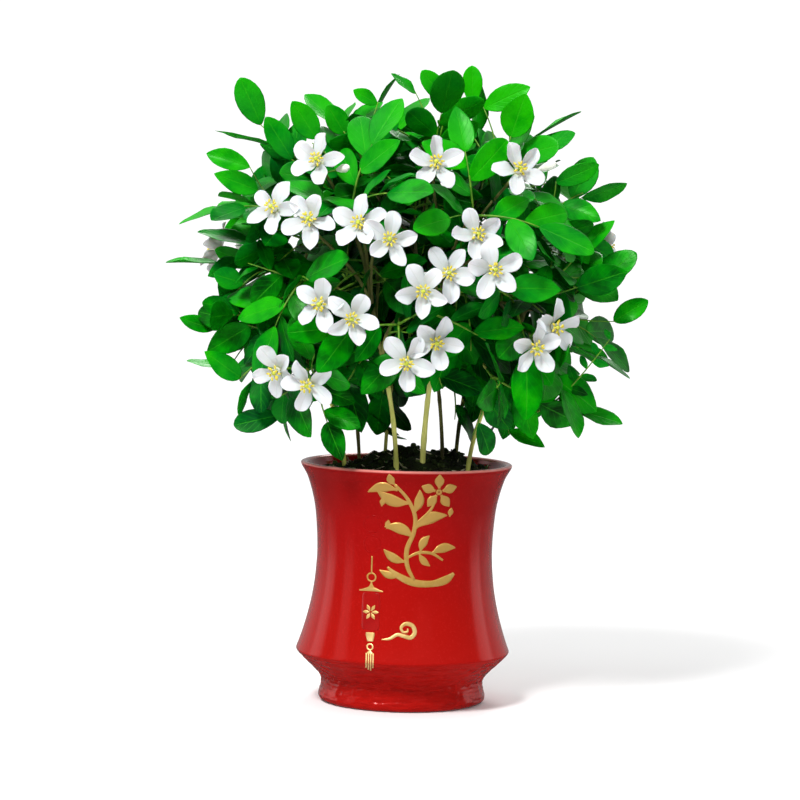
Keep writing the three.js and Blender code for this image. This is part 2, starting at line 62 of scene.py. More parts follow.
# %% Camera
CAMERA_PLACE = Vector((-0.0058, -2.329, 0.380))
CAMERA_TARGET = Vector((-0.0058, 0.0, 0.2175))
CAMERA_ROLL = math.radians(1.3)

camera = bpy.data.objects.new("camera", bpy.data.cameras.new("camera"))
camera.data.lens = 146.0
camera.data.sensor_width = 36.0
camera.data.clip_end = 50.0
camera.location = CAMERA_PLACE
looking = (CAMERA_TARGET - CAMERA_PLACE).to_track_quat("-Z", "Y")
camera.rotation_mode = "QUATERNION"
camera.rotation_quaternion = looking @ Quaternion((0, 0, 1), CAMERA_ROLL)
bpy.context.scene.collection.objects.link(camera)
bpy.context.scene.camera = camera
bpy.context.scene.view_settings.view_transform = "Standard"
reach = (CAMERA_TARGET - CAMERA_PLACE).length
print("the camera sees", round(reach * camera.data.sensor_width / camera.data.lens, 3), "m across at the pot")

# %% [markdown]
# ## Skins made of rings
#
# Nearly everything on a plant is a tube of some sort. A stem is a round tube, a bud is a tube that
# swells and closes, and even a leaf is a tube pressed flat. So one helper is enough: it takes rows
# of rings, joins each ring to the next, and closes both ends. Each face corner also stores where it
# is across and along the tube, and a tone, which the materials read later.

# %% The skin helper
class Skin:
    """One piece's points and faces, gathered in millimetres."""

    def __init__(self):
        self.points, self.faces, self.places, self.tones, self.slots = [], [], [], [], []

    def rings(self, rows, tone=0.5, slot=0, across=None, upper=None):
        """Joins closed rings of points. A ring runs anticlockwise, seen from the last ring."""
        rows = np.asarray(rows, dtype=float)
        count, size = rows.shape[:2]
        across = np.linspace(0, 1, size + 1) if across is None else across
        upper = np.ones(size) if upper is None else upper
        start = len(self.points)
        self.points.extend(rows.reshape(-1, 3).tolist())
        for r in range(count - 1):
            low, high = start + r * size, start + (r + 1) * size
            v0, v1 = r / (count - 1), (r + 1) / (count - 1)
            for c in range(size):
                d = (c + 1) % size
                self.faces.append((low + c, low + d, high + d, high + c))
                left, right = across[c], across[c + 1]
                self.places.extend([(left, v0), (right, v0), (right, v1), (left, v1)])
                self.tones.extend([(tone, upper[c])] * 4)
                self.slots.append(slot)
        for ring, along in ((range(size - 1, -1, -1), 0), (range(size), count - 1)):
            self.faces.append(tuple(start + along * size + c for c in ring))
            self.places.extend([(across[c], along / (count - 1)) for c in ring])
            self.tones.extend([(tone, 1.0)] * size)
            self.slots.append(slot)

    def piece(self, name, materials, slot=None, replaced=()):
        """Makes the Blender object, hangs it on the root, and hides the plain solids it stands in for."""
        mesh = bpy.data.meshes.new(name)
        mesh.from_pydata(np.array(self.points) * MM, [], self.faces)
        for material in materials:
            mesh.materials.append(material)
        mesh.polygons.foreach_set("material_index", self.slots)
        mesh.polygons.foreach_set("use_smooth", [True] * len(self.faces))
        for layer, values in (("Blade", self.places), ("Tone", self.tones)):
            mesh.uv_layers.new(name=layer).data.foreach_set("uv", np.array(values).ravel())
        mesh.update()
        made = bpy.data.objects.new(name, mesh)
        bpy.context.scene.collection.objects.link(made)
        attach(made, "root")
        if replaced:
            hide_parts(*replaced)
        return made


print("a 40 mm leaflet becomes", 40 * MM, "m when its mesh is made")

# %% [markdown]
# ## Tubes, beads and curves
#
# A tube needs a frame at each step that doesn't spin about its own axis. Carrying the last frame
# along and only straightening it does this, and it never flips as the textbook frame of a curve
# can. A bead is a short tube whose radius follows a half circle.

# %% Tube helpers
def carried_frames(points):
    """Two directions square to the path at each of its points, carried along without spin."""
    steps = np.gradient(points, axis=0)
    steps /= np.linalg.norm(steps, axis=1)[:, None]
    side = np.cross(steps[0], (0, 0, 1) if abs(steps[0][2]) < 0.9 else (1, 0, 0))
    frames = []
    for step in steps:
        side = side - step * side.dot(step)
        side /= np.linalg.norm(side)
        frames.append((side, np.cross(step, side)))
    return frames


def tube(skin, points, radii, sides=8, tone=0.5, slot=0):
    points = np.array([tuple(p) for p in points], dtype=float)
    angles = np.linspace(0, 2 * math.pi, sides, endpoint=False)
    rows = [
        [centre + radius * (side * math.cos(a) + other * math.sin(a)) for a in angles]
        for centre, radius, (side, other) in zip(points, radii, carried_frames(points))
    ]
    skin.rings(rows, tone, slot)


def bead(skin, centre, axis, radius, half, sides=8, steps=6, tone=0.5, slot=0):
    turns = np.linspace(0.12, math.pi - 0.12, steps)
    points = [centre - axis * half * math.cos(t) for t in turns]
    tube(skin, points, [radius * math.sin(t) for t in turns], sides, tone, slot)


def bezier(points, t):
    """A point on the curve of 3 or 4 control points."""
    points = list(points)
    while len(points) > 1:
        points = [a.lerp(b, t) for a, b in zip(points, points[1:])]
    return points[0]


def bezier_way(points, t):
    return (bezier(points, t + 1e-3) - bezier(points, t - 1e-3)).normalized()


def curved_tube(skin, curve, steps, radius, sides, tone=0.5, slot=1):
    """A tube along a curve. radius gives its size for the share of the way, from 0 to 1."""
    shares = [k / steps for k in range(steps + 1)]
    tube(skin, [bezier(curve, t) for t in shares], [radius(t) for t in shares], sides, tone, slot)


arch = [Vector((0, 0, 0)), Vector((0, 0, 10)), Vector((10, 0, 10))]
print("half way along an arch:", tuple(bezier(arch, 0.5)), "heading", tuple(bezier_way(arch, 0.5)))

# %% [markdown]
# ## The plan of the bush
#
# The plain solids were grown by rules: a list of stems, a list of blossoms, a list of shoots, and a
# number that looks random but is the same each time. The same rules here give back the same bush.
# Where the rules leave a choice, such as which way a leaflet turned to find room, the plain solid
# itself decides: the right choice is the one whose tip is a corner of that solid.

# %% Dimensions of the bush
CROWN_CENTRE = Vector((0, 0, 305))
CROWN_HALF = (150, 128, 132)
UP = Vector((0, 0, 1))
RIM_RADIUS = 75
SOIL_EDGE_HEIGHT = 160
SOIL_CROWN_HEIGHT = 171
STEM_BURIED = 14
TWIG_RADIUS = 1.1
RACHIS_RADIUS = 0.75
SHOOT_AXIS = 8
GAP = 0.3

# Where each stem leaves the soil, its top, its radius there, and its bark from dark to pale.
STEMS = [
    ((11, -24), (22, -44, 300), 2.7, 1.0),
    ((-7, -33), (-30, -50, 306), 2.2, 0.85),
    ((26, -4), (6, 14, 330), 1.7, 0.2),
    ((35, 16), (56, 48, 300), 1.8, 0.35),
    ((43, -18), (80, -20, 280), 2.0, 0.8),
    ((-44, -4), (-82, -14, 284), 2.0, 0.65),
    ((-34, 20), (-56, 46, 296), 1.6, 0.3),
    ((-16, 14), (-2, 66, 310), 1.7, 0.55),
]

# Each blossom's first flower, its second flower or None, and whether it has a closed bud.
BLOSSOMS = [
    ((-66, -95, 387), None, True),
    ((15, -112, 387), None, True),
    ((72, -94, 384), None, True),
    ((-70, -112, 347), (-95, -100, 354), False),
    ((-15, -131, 335), (-36, -122, 345), False),
    ((56, -126, 316), (44, -116, 339), False),
    ((8, -136, 301), (25, -124, 313), False),
    ((-39, -128, 281), (-61, -119, 290), False),
    ((86, -103, 263), (99, -92, 277), False),
    ((-69, -96, 234), (-91, -86, 242), False),
    ((-2, -122, 252), (18, -119, 266), False),
    ((139, 22, 330), None, True),
    ((-140, 30, 322), None, True),
    ((92, 94, 350), (106, 76, 344), False),
    ((-62, 100, 380), None, True),
    ((10, 132, 300), (-10, 126, 311), False),
]

FRONT_SHOOTS = [
    ((-92, -14, 312), 6),
    ((-86, -26, 348), 14),
    ((-68, -20, 374), 10),
    ((-30, -26, 376), 16),
    ((14, -18, 384), 8),
    ((54, -24, 374), 14),
    ((88, -18, 346), 12),
    ((92, -22, 306), 10),
    ((86, -34, 258), 14),
    ((-84, -30, 262), 14),
    ((-42, -84, 356), 50),
    ((42, -82, 352), 50),
    ((-8, -92, 276), 56),
    ((-76, -66, 304), 48),
    ((72, -68, 290), 48),
    ((58, -64, 240), 40),
    ((-64, -60, 238), 40),
    ((-34, -34, 318), 60),
    ((32, -40, 306), 60),
    ((2, -30, 356), 60),
    ((0, -6, 262), 60),
]
BACK_RINGS = [(2, 374, 46, 50, 130), (4, 328, 76, 14, 164), (4, 262, 74, 10, 170)]
SIDE_SHOOTS = [((-96, -6, 272), 8), ((98, 4, 282), 8)]

# Single leaflets of the outline: where each starts, its tip, and how wide it looks from the front.
OUTER_LEAFLETS = [
    ((-110, -20, 413), (-125, -26, 446), 22),
    ((-86, -34, 388), (-105, -40, 418), 19),
    ((-117, -10, 383), (-149, -6, 393), 17),
    ((-110, -30, 366), (-141, -36, 378), 18),
    ((-138, -16, 313), (-176, -20, 315), 8),
    ((-111, -34, 329), (-151, -44, 338), 14),
    ((-110, -10, 312), (-142, -4, 322), 13),
    ((-119, -30, 299), (-139, -40, 306), 18),
    ((-142, -8, 265), (-166, -10, 274), 13),
    ((-121, -34, 280), (-147, -42, 287), 17),
    ((-129, -16, 237), (-159, -20, 244), 9),
    ((-120, -36, 232), (-145, -44, 251), 18),
    ((-90, -28, 206), (-124, -34, 199), 19),
    ((0, -20, 438), (-17, -24, 453), 9),
    ((24, -30, 431), (5, -36, 454), 16),
    ((42, -14, 431), (41, -14, 459), 16),
    ((48, -26, 429), (80, -34, 445), 20),
    ((68, -36, 408), (78, -42, 439), 26),
    ((81, -24, 395), (114, -28, 413), 17),
    ((101, -30, 377), (131, -36, 390), 14),
    ((121, -8, 366), (154, -10, 376), 9),
    ((119, -26, 328), (143, -30, 352), 15),
    ((125, -20, 300), (160, -26, 328), 22),
    ((147, -10, 278), (171, -12, 294), 17),
    ((118, -24, 214), (154, -28, 206), 15),
    ((72, -34, 198), (98, -40, 189), 13),
    ((-26, -26, 430), (-43, -30, 440), 12),
    ((-69, -30, 404), (-86, -36, 430), 20),
    ((-50, -24, 408), (-62, -30, 428), 18),
    ((-24, -40, 400), (-12, -46, 422), 14),
]

# Along a leaf's rachis: where each leaflet sits, on which side, and its length.
LEAFLETS = [(0.32, 1, 32), (0.54, -1, 35), (0.76, 1, 37), (0.99, 0, 40)]
NUDGES = [0, 24, -24, 48, -48]
TRIES = [(0, 1), (32, 1), (-32, 1), (0, 0.76), (48, 0.72), (-48, 0.72)]
BOWS = [math.radians(bow) for bow in (0, 60, 120, 180, 240, 300)]
# One turn in radians, rounded, which is near enough for waves, knobs and places round a circle.
TURN = 6.283
print(len(STEMS), "stems,", len(BLOSSOMS), "blossoms,", len(OUTER_LEAFLETS), "leaflets of the outline")

# %% [markdown]
# The shoots behind the crown stand on rings, one above the other, and those at the sides fill what
# the rings leave open. The number from vary looks random, but three keys always give the same one.

# %% The shoots
def vary(a, b, c):
    """The same number between 0 and 1 each time for the same three keys."""
    wave = math.sin(a * 12.9898 + b * 78.233 + c * 37.719) * 43758.5453
    return wave - math.floor(wave)


def outward_at(point):
    return Vector((p - c) / h for p, c, h in zip(point, CROWN_CENTRE, CROWN_HALF)).normalized()


def soil_top(r):
    return SOIL_EDGE_HEIGHT + (SOIL_CROWN_HEIGHT - SOIL_EDGE_HEIGHT) * math.cos(r / RIM_RADIUS * 1.35)


SHOOTS = list(FRONT_SHOOTS)
for ring, (count, height, radius, first, last) in enumerate(BACK_RINGS):
    for n in range(count):
        angle = math.radians(first + (last - first) * n / (count - 1))
        wide = CROWN_HALF[0] / CROWN_HALF[1]
        at = (
            math.cos(angle) * radius * wide,
            math.sin(angle) * radius,
            height + 12 * (vary(ring, n, 14) - 0.5),
        )
        SHOOTS.append((at, 30 + 20 * vary(ring, n, 15)))
SHOOTS += SIDE_SHOOTS
print(len(SHOOTS), "shoots, of which", len(FRONT_SHOOTS), "are in front")

# %% [markdown]
# ## Corners of the plain solids
#
# To ask a plain solid whether a leaflet grew in some place, we look for a corner of the solid there.
# A solid has hundreds of corners, so they go into a search tree, which finds the nearest at once.

# %% Corners of the plain solids
def corners_of(name):
    """A search tree over the corners of a plain solid, in millimetres."""
    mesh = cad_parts[name].data
    tree = KDTree(len(mesh.vertices))
    for n, vertex in enumerate(mesh.vertices):
        tree.insert(vertex.co / MM, n)
    tree.balance()
    return tree


def distance_to(tree, point):
    return tree.find(point)[2]


print("stem_1 has", len(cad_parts["stem_1"].data.vertices), "corners")

# %% [markdown]
# ## Leaves
#
# A leaf of this bush is pinnate: leaflets stand left and right of a thin rachis, and one ends it.
# The plan of a leaf gives its rachis curve and, for each leaflet, its foot and its own directions.

# %% The plan of one leaf
def shoot_frame(at):
    heart = Vector(at)
    outward = outward_at(heart)
    sideways = UP.cross(outward).normalized()
    return heart, outward, sideways, outward.cross(sideways)


def square_to(way, axis):
    return (way - axis * way.dot(axis)).normalized()


def leaf_plan(index, at, swing, roll, turn, nudge):
    heart, outward, sideways, upward = shoot_frame(at)
    spread = math.radians(swing if turn == 0 else 58 + 22 * (vary(index, turn, 1) - 0.5))
    around = math.radians(roll + 120 * turn + 36 * (vary(index, turn, 2) - 0.5) + nudge)
    along = (
        outward * math.cos(spread)
        + sideways * math.cos(around) * math.sin(spread)
        + upward * math.sin(around) * math.sin(spread)
    )
    light = outward * 0.7 + UP * 0.45 + Vector((0, -0.25, 0))
    face = square_to(light, along)
    face = Quaternion(along, math.radians(50 * (vary(index, turn, 3) - 0.5))) @ face
    across = face.cross(along)
    length = 37 + 10 * vary(index, turn, 4)
    curve = [
        heart,
        heart + along * length * 0.55 + face * 4,
        heart + along * length - face * (2 + 7 * vary(index, turn, 5)),
    ]
    return curve, [
        leaflet_plan(curve, face, across, index * 3 + turn, n) for n in range(len(LEAFLETS))
    ]


def leaflet_plan(curve, face, across, key, n):
    share, side, size = LEAFLETS[n]
    opening = 62 - 22 * share + 16 * (vary(key, n, 6) - 0.5)
    angle = math.radians(opening) if side else 0
    along = bezier_way(curve, share) * math.cos(angle) + across * side * math.sin(angle)
    along.normalize()
    middle = bezier(curve, 0.5)
    half = (curve[0], middle) if share < 0.5 else (middle, curve[2])
    length = size * (0.88 + 0.26 * vary(key, n, 7))
    return {
        "base": half[0].lerp(half[1], share * 2 % 1),
        "along": along,
        "face": square_to(face, along),
        "length": length,
        "width": length * (0.56 + 0.1 * vary(key, n, 8)),
        "droop": 1 + 5 * vary(key, n, 9),
        "lean": math.radians(30 * (vary(key, n, 10) - 0.5)),
        "key": key * 7 + n,
    }


def turned(plan, turn, size):
    """A leaflet as it grew: turned about its own rib, and perhaps smaller."""
    face = Quaternion(plan["along"], plan["lean"] + math.radians(turn)) @ plan["face"]
    return {**plan, "face": face, "length": plan["length"] * size, "width": plan["width"] * size}


def tip_of(plan):
    return plan["base"] + plan["along"] * plan["length"] - plan["face"] * plan["droop"]


rachis, leaflets = leaf_plan(0, *SHOOTS[0], 0, 0, 0)
print(len(leaflets), "leaflets on the first rachis,", round((rachis[2] - rachis[0]).length), "mm long")

# %% [markdown]
# A leaflet's blade is a tube pressed flat. Its half width follows u^a (1-u)^b, which is the
# simplest curve that has a wedge at the foot and a blunt tip. The blade folds up a little along the
# midrib, droops towards its tip, and its margin waves: three small terms added to the height.

# %% One leaflet's blade
BLADE_STEPS = 11
BLADE_POINTS = 14
LEAF_THICKNESS = 0.5
ring_angles = np.linspace(0, 2 * math.pi, BLADE_POINTS + 1)
ring_across = np.cos(ring_angles)
ring_rise = np.sin(ring_angles)
ring_upper = (np.sin((ring_angles[:-1] + ring_angles[1:]) / 2) > 0).astype(float)


def outline(foot_power, tip_power):
    """The half width along a blade, as shares of the widest, with more steps near the ends."""
    u = (1 - np.cos(np.linspace(0.12, math.pi - 0.1, BLADE_STEPS))) / 2
    widest = foot_power / (foot_power + tip_power)
    peak = widest**foot_power * (1 - widest) ** tip_power
    return u, u**foot_power * (1 - u) ** tip_power / peak


def blade(skin, plan, tone, thickness, outline_powers, fold, wave, slot=0):
    """Adds one flat blade: a leaflet or a petal."""
    along, face = np.array(plan["along"]), np.array(plan["face"])
    across = np.cross(face, along)
    u, wide = outline(*outline_powers)
    half = plan["width"] * 0.46
    phase = TURN * vary(plan["key"], 1, 21)
    rows = []
    for share, w in zip(u, wide):
        s = ring_across[:-1]
        lift = fold * np.abs(s) ** 1.4 * w - plan["droop"] * share**2
        lift = lift + wave * s**2 * w * math.sin(TURN * 1.6 * share + phase)
        lift = lift + wave * 0.6 * s * w * math.cos(TURN * 1.1 * share + phase * 1.7)
        lift = lift + thickness / 2 * ring_rise[:-1] * min(1, 3 * w)
        centre = np.array(plan["base"]) + along * share * plan["length"]
        rows.append(centre + np.outer(s * half * w, across) + np.outer(lift, face))
    skin.rings(rows, tone, slot, across=(1 - ring_across) / 2, upper=ring_upper)


def leaflet(skin, plan):
    """One leaflet, with painted shade: darker deep inside and low in the crown, paler far out and high up."""
    key = plan["key"]
    centre = plan["base"] + plan["along"] * plan["length"] * 0.5
    out = sum(((p - c) / h) ** 2 for p, c, h in zip(centre, CROWN_CENTRE, CROWN_HALF)) ** 0.5
    # Painted shade: the tone falls for leaflets deep inside and low in the crown; the last term is random.
    tone = 0.75 * min(1.05, out) * max(0.35, centre.z / 330) - 0.08 + 0.62 * (vary(key, 2, 22) - 0.5)
    powers = (0.6 + 0.3 * vary(key, 3, 23), 0.56 + 0.36 * vary(key, 4, 24))
    fold = 0.6 + 2.2 * vary(key, 5, 25)
    blade(skin, plan, min(1, max(0, tone)), LEAF_THICKNESS, powers, fold, 0.7, slot=0)


print("one blade has", BLADE_STEPS * BLADE_POINTS, "corners")

# %% [markdown]
# ## Building materials from nodes
#
# A material is a small graph: each node takes values, does one thing and hands its result on.
# Adding nodes by hand takes many lines, so a few helpers each add one node and give back its output.

# %% Node helpers
def new_tree_node(tree, kind, inputs=None, **settings):
    """Adds a node. An input's value is either a socket to link or a plain value."""
    made = tree.nodes.new(kind)
    for key, value in settings.items():
        setattr(made, key, value)
    for key, value in (inputs or {}).items():
        if isinstance(value, bpy.types.NodeSocket):
            tree.links.new(value, made.inputs[key])
        else:
            made.inputs[key].default_value = value
    return made


def maths(tree, operation, first, second=0.0, clamp=False):
    inputs = {0: first, 1: second}
    return new_tree_node(tree, "ShaderNodeMath", inputs, operation=operation, use_clamp=clamp).outputs[0]


def ramp(tree, factor, stops):
    made = new_tree_node(tree, "ShaderNodeValToRGB", {"Fac": factor})
    elements = made.color_ramp.elements
    while len(elements) < len(stops):
        elements.new(0.5)
    for element, (place, colour) in zip(elements, stops):
        element.position = place
        element.color = (*colour, 1)
    return made.outputs["Color"]


def mixed(tree, factor, first, second):
    """Goes from the first colour to the second as the factor goes from 0 to 1."""
    made = new_tree_node(tree, "ShaderNodeMix", data_type="RGBA")
    for socket, value in zip((made.inputs[0], made.inputs[6], made.inputs[7]), (factor, first, second)):
        if isinstance(value, bpy.types.NodeSocket):
            tree.links.new(value, socket)
        else:
            socket.default_value = (*value, 1) if isinstance(value, tuple) else value
    return made.outputs[2]


def fade(tree, value, start, end, at_start=0.0, at_end=1.0, smooth=False):
    """A value that goes from one number to another over a range of another value."""
    inputs = {"Value": value, "From Min": start, "From Max": end, "To Min": at_start, "To Max": at_end}
    kind = "SMOOTHSTEP" if smooth else "LINEAR"
    return new_tree_node(tree, "ShaderNodeMapRange", inputs, interpolation_type=kind).outputs["Result"]


print("each helper adds one node:", ", ".join(f.__name__ for f in (maths, ramp, mixed, fade)))

# %% [markdown]
# ## Shared patterns
#
# Two effects come back in many finishes. Mottling, a soft uneven noise, breaks up every natural
# surface. Veins run over both leaves and petals: one rib in the middle, and side veins that leave
# it at a slant. Each is a node group with its own inputs, so a material only has to say how much.

# %% The mottling group
def new_group(name, inputs, outputs):
    group = bpy.data.node_groups.new(name, "ShaderNodeTree")
    for label, value in inputs:
        socket = group.interface.new_socket(name=label, in_out="INPUT", socket_type="NodeSocketFloat")
        socket.default_value = value
    for label in outputs:
        group.interface.new_socket(name=label, in_out="OUTPUT", socket_type="NodeSocketFloat")
    return group, group.nodes.new("NodeGroupInput").outputs, group.nodes.new("NodeGroupOutput").inputs


mottle, given, wanted = new_group(
    "mottling", [("Scale", 40), ("Detail", 3), ("Low", 0), ("High", 1)], ["Value"]
)
place = mottle.nodes.new("ShaderNodeTexCoord").outputs["Object"]
cloud = new_tree_node(
    mottle, "ShaderNodeTexNoise", {"Vector": place, "Scale": given["Scale"], "Detail": given["Detail"]}
)
spread_out = fade(mottle, cloud.outputs["Fac"], 0.3, 0.7, given["Low"], given["High"])
mottle.links.new(spread_out, wanted["Value"])
print(mottle.name, "has", len(mottle.nodes), "nodes")

# %% [markdown]
# The veins are drawn from the place stored with each corner of a blade: across it for the rib, and
# along it, shifted by the distance from the rib, for the side veins. A ping-pong makes them repeat.

# %% The veins group
veins, given, wanted = new_group(
    "blade_veins", [("Pairs", 7), ("Slant", 0.5), ("Rib Width", 0.03)], ["Rib", "Side Veins"]
)
place = new_tree_node(veins, "ShaderNodeUVMap", uv_map="Blade").outputs["UV"]
split = new_tree_node(veins, "ShaderNodeSeparateXYZ", {"Vector": place}).outputs
from_rib = maths(veins, "ABSOLUTE", maths(veins, "SUBTRACT", split["X"], 0.5))
rib = fade(veins, from_rib, 0.0, given["Rib Width"], 1.0, 0.0, smooth=True)
slanted = maths(veins, "SUBTRACT", split["Y"], maths(veins, "MULTIPLY", from_rib, given["Slant"]))
saw = maths(veins, "PINGPONG", maths(veins, "MULTIPLY", slanted, given["Pairs"]), 0.5)
side_vein = fade(veins, saw, 0.0, 0.13, 1.0, 0.0, smooth=True)
veins.links.new(rib, wanted["Rib"])
veins.links.new(side_vein, wanted["Side Veins"])
print(veins.name, "has", len(veins.nodes), "nodes")

# %% [markdown]
# ## Starting a material
#
# Every finish here starts the same way: a Principled shader whose plain numbers are set on its own
# sockets, then a colour, a roughness that varies a little, and a bump. A few helpers say this once,
# and the plainest finishes, whose colour and bump follow one mottling, need no more than one call.

# %% Material helpers
def group_node(tree, group, **inputs):
    made = new_tree_node(tree, "ShaderNodeGroup")
    made.node_tree = group
    for key, value in inputs.items():
        made.inputs[key.replace("_", " ")].default_value = value
    return made.outputs


def new_material(name, **constants):
    """A material with a Principled BSDF whose plain numbers are set on its own sockets."""
    material = bpy.data.materials.new(name)
    material.use_nodes = True
    shader = material.node_tree.nodes["Principled BSDF"]
    for key, value in constants.items():
        shader.inputs[key.replace("_", " ")].default_value = value
    return material, material.node_tree, shader


def roughen(tree, shader, scale, low, high, detail=2):
    """Lets the roughness wander between two values."""
    rough = group_node(tree, mottle, Scale=scale, Detail=detail, Low=low, High=high)["Value"]
    tree.links.new(rough, shader.inputs["Roughness"])


def bump(tree, shader, height, strength, distance):
    made = new_tree_node(
        tree, "ShaderNodeBump", {"Height": height, "Strength": strength, "Distance": distance}
    )
    tree.links.new(made.outputs["Normal"], shader.inputs["Normal"])


def tone_of(tree):
    """The two numbers stored with each face: its tone, and 1 on a blade's upper side."""
    stored = new_tree_node(tree, "ShaderNodeUVMap", uv_map="Tone").outputs["UV"]
    parts = new_tree_node(tree, "ShaderNodeSeparateXYZ", {"Vector": stored}).outputs
    return parts["X"], parts["Y"]


def toned_ramp(tree, tone, scale, detail, spread, stops):
    """A colour picked by the stored tone, which a mottling moves up and down by the spread."""
    patches = group_node(tree, mottle, Scale=scale, Detail=detail, Low=-spread, High=spread)["Value"]
    return ramp(tree, maths(tree, "ADD", tone, patches, clamp=True), stops)


def object_height(tree):
    """The height above the floor in metres, and the whole place it is taken from."""
    place = tree.nodes.new("ShaderNodeTexCoord").outputs["Object"]
    return new_tree_node(tree, "ShaderNodeSeparateXYZ", {"Vector": place}).outputs["Z"], place


def finished(material):
    print(material.name, "has", len(material.node_tree.nodes), "nodes")


def plain_finish(name, scale, detail, colours, rough, relief, **constants):
    """A finish whose colour and bump both follow one mottling."""
    material, tree, shader = new_material(name, **constants)
    patches = group_node(tree, mottle, Scale=scale, Detail=detail, Low=0, High=1)["Value"]
    tree.links.new(ramp(tree, patches, list(zip((0.0, 1.0), colours))), shader.inputs["Base Color"])
    if rough:
        roughen(tree, shader, *rough)
    bump(tree, shader, patches, *relief)
    finished(material)
    return material


# %% [markdown]
# ## Leaf green
#
# A leaf of this bush is a glossy, saturated green. The colour runs over a ramp by tone, which is partly
# random and partly painted shade: leaves deep inside and low in the crown are painted almost bottle
# green, and those far out and high up a paler, yellower green. The midrib is paler, the underside
# duller, and a thin clear coat gives the waxy shine.

# %% Leaf green
leaf_green, tree, shader = new_material(
    "leaf_green", Coat_Weight=0.03, Coat_Roughness=0.16, Specular_IOR_Level=0.24
)
shader.inputs["Specular Tint"].default_value = (0.2, 1.0, 0.15, 1)
tone, upper = tone_of(tree)
lines = group_node(tree, veins, Pairs=8, Slant=0.55, Rib_Width=0.035)
# From almost black green to bright green; the dark end is partly painted shade for inner leaves.
LEAF_GREENS_AND_PAINTED_SHADE = [
    (0.0, (0.0004, 0.03, 0.002)),
    (0.3, (0.0006, 0.13, 0.002)),
    (0.62, (0.001, 0.27, 0.001)),
    (1.0, (0.012, 0.39, 0.001)),
]
green = toned_ramp(tree, tone, 80, 4, 0.3, LEAF_GREENS_AND_PAINTED_SHADE)
bluish = group_node(tree, mottle, Scale=16, Detail=1, Low=-0.2, High=0.5)["Value"]
green = mixed(tree, maths(tree, "MAXIMUM", bluish, 0.0), green, (0.001, 0.09, 0.022))
green = mixed(tree, maths(tree, "MULTIPLY", lines["Side Veins"], 0.16), green, (0.006, 0.4, 0.004))
green = mixed(tree, maths(tree, "MULTIPLY", lines["Rib"], 0.4), green, (0.04, 0.46, 0.01))
dull = mixed(tree, 0.3, green, (0.004, 0.18, 0.006))
tree.links.new(mixed(tree, upper, dull, green), shader.inputs["Base Color"])
roughen(tree, shader, 140, 0.28, 0.44)
rib_groove = maths(tree, "MULTIPLY", lines["Rib"], -0.8)
vein_groove = maths(tree, "MULTIPLY", lines["Side Veins"], -0.25)
bump(tree, shader, maths(tree, "ADD", rib_groove, vein_groove), 0.5, 0.0005)
finished(leaf_green)

# %% [markdown]
# ## Young green
#
# Leaf axes, flower stalks and the little cups behind the flowers are soft young wood: yellow-green,
# less shiny than a leaf, with a fine grain.

# %% Young green
young_colours = (0.05, 0.22, 0.01), (0.2, 0.42, 0.03)
young_green = plain_finish(
    "young_green", 220, 3, young_colours, (300, 0.45, 0.65), (0.25, 0.0002), Specular_IOR_Level=0.4
)

# %% [markdown]
# ## Petal white
#
# The petals are waxy white. Towards the throat the white turns to a cool grey, which is painted shade,
# and then to the yellow green of the throat itself, and faint lengthwise veins keep it from looking like
# paper. The colour follows how far along the petal a point is, which each face corner stores.

# %% Petal white
petal_white, tree, shader = new_material(
    "petal_white", Specular_IOR_Level=0.35, Subsurface_Weight=0.12, Subsurface_Scale=0.002
)
place = new_tree_node(tree, "ShaderNodeUVMap", uv_map="Blade").outputs["UV"]
along_petal = new_tree_node(tree, "ShaderNodeSeparateXYZ", {"Vector": place}).outputs["Y"]
# From the yellow-green throat through a cool grey to the paler tip; the grey is painted shade.
white = ramp(
    tree,
    along_petal,
    [
        (0.0, (0.4, 0.48, 0.05)),
        (0.13, (0.56, 0.6, 0.26)),
        (0.3, (0.58, 0.62, 0.62)),
        (0.8, (0.78, 0.79, 0.82)),
    ],
)
lines = group_node(tree, veins, Pairs=5, Slant=2.4, Rib_Width=0.06)
white = mixed(tree, maths(tree, "MULTIPLY", lines["Rib"], 0.3), white, (0.52, 0.56, 0.52))
white = mixed(tree, maths(tree, "MULTIPLY", lines["Side Veins"], 0.14), white, (0.56, 0.58, 0.6))
tree.links.new(white, shader.inputs["Base Color"])
roughen(tree, shader, 160, 0.42, 0.58)
bump(tree, shader, maths(tree, "ADD", lines["Rib"], lines["Side Veins"]), 0.35, -0.0004)
finished(petal_white)

# %% [markdown]
# ## Anther yellow
#
# Ten filaments carry small anthers full of pollen. Pollen is a powder, so its surface is rough and a
# fine bump breaks up every highlight.

# %% Anther yellow
pollen_colours = (0.6, 0.46, 0.02), (0.85, 0.76, 0.1)
anther_yellow = plain_finish(
    "anther_yellow", 900, 2, pollen_colours, None, (0.6, 0.0002), Roughness=0.8
)

# %% [markdown]
# ## Cream and knob green
#
# The filaments, buds and throats are solid little forms, so their white doesn't run along a petal
# and gets a plain mottle. The knob that ends the pistil is sticky and a little greener than pollen.

# %% Cream and knob green
cream_colours = (0.74, 0.78, 0.6), (0.92, 0.93, 0.88)
cream = plain_finish(
    "cream", 150, 2, cream_colours, (200, 0.4, 0.55), (0.15, 0.0002), Specular_IOR_Level=0.35
)
knob_colours = (0.4, 0.5, 0.03), (0.7, 0.72, 0.08)
knob_green = plain_finish(
    "knob_green", 600, 2, knob_colours, (400, 0.3, 0.5), (0.3, 0.0002), Specular_IOR_Level=0.5
)
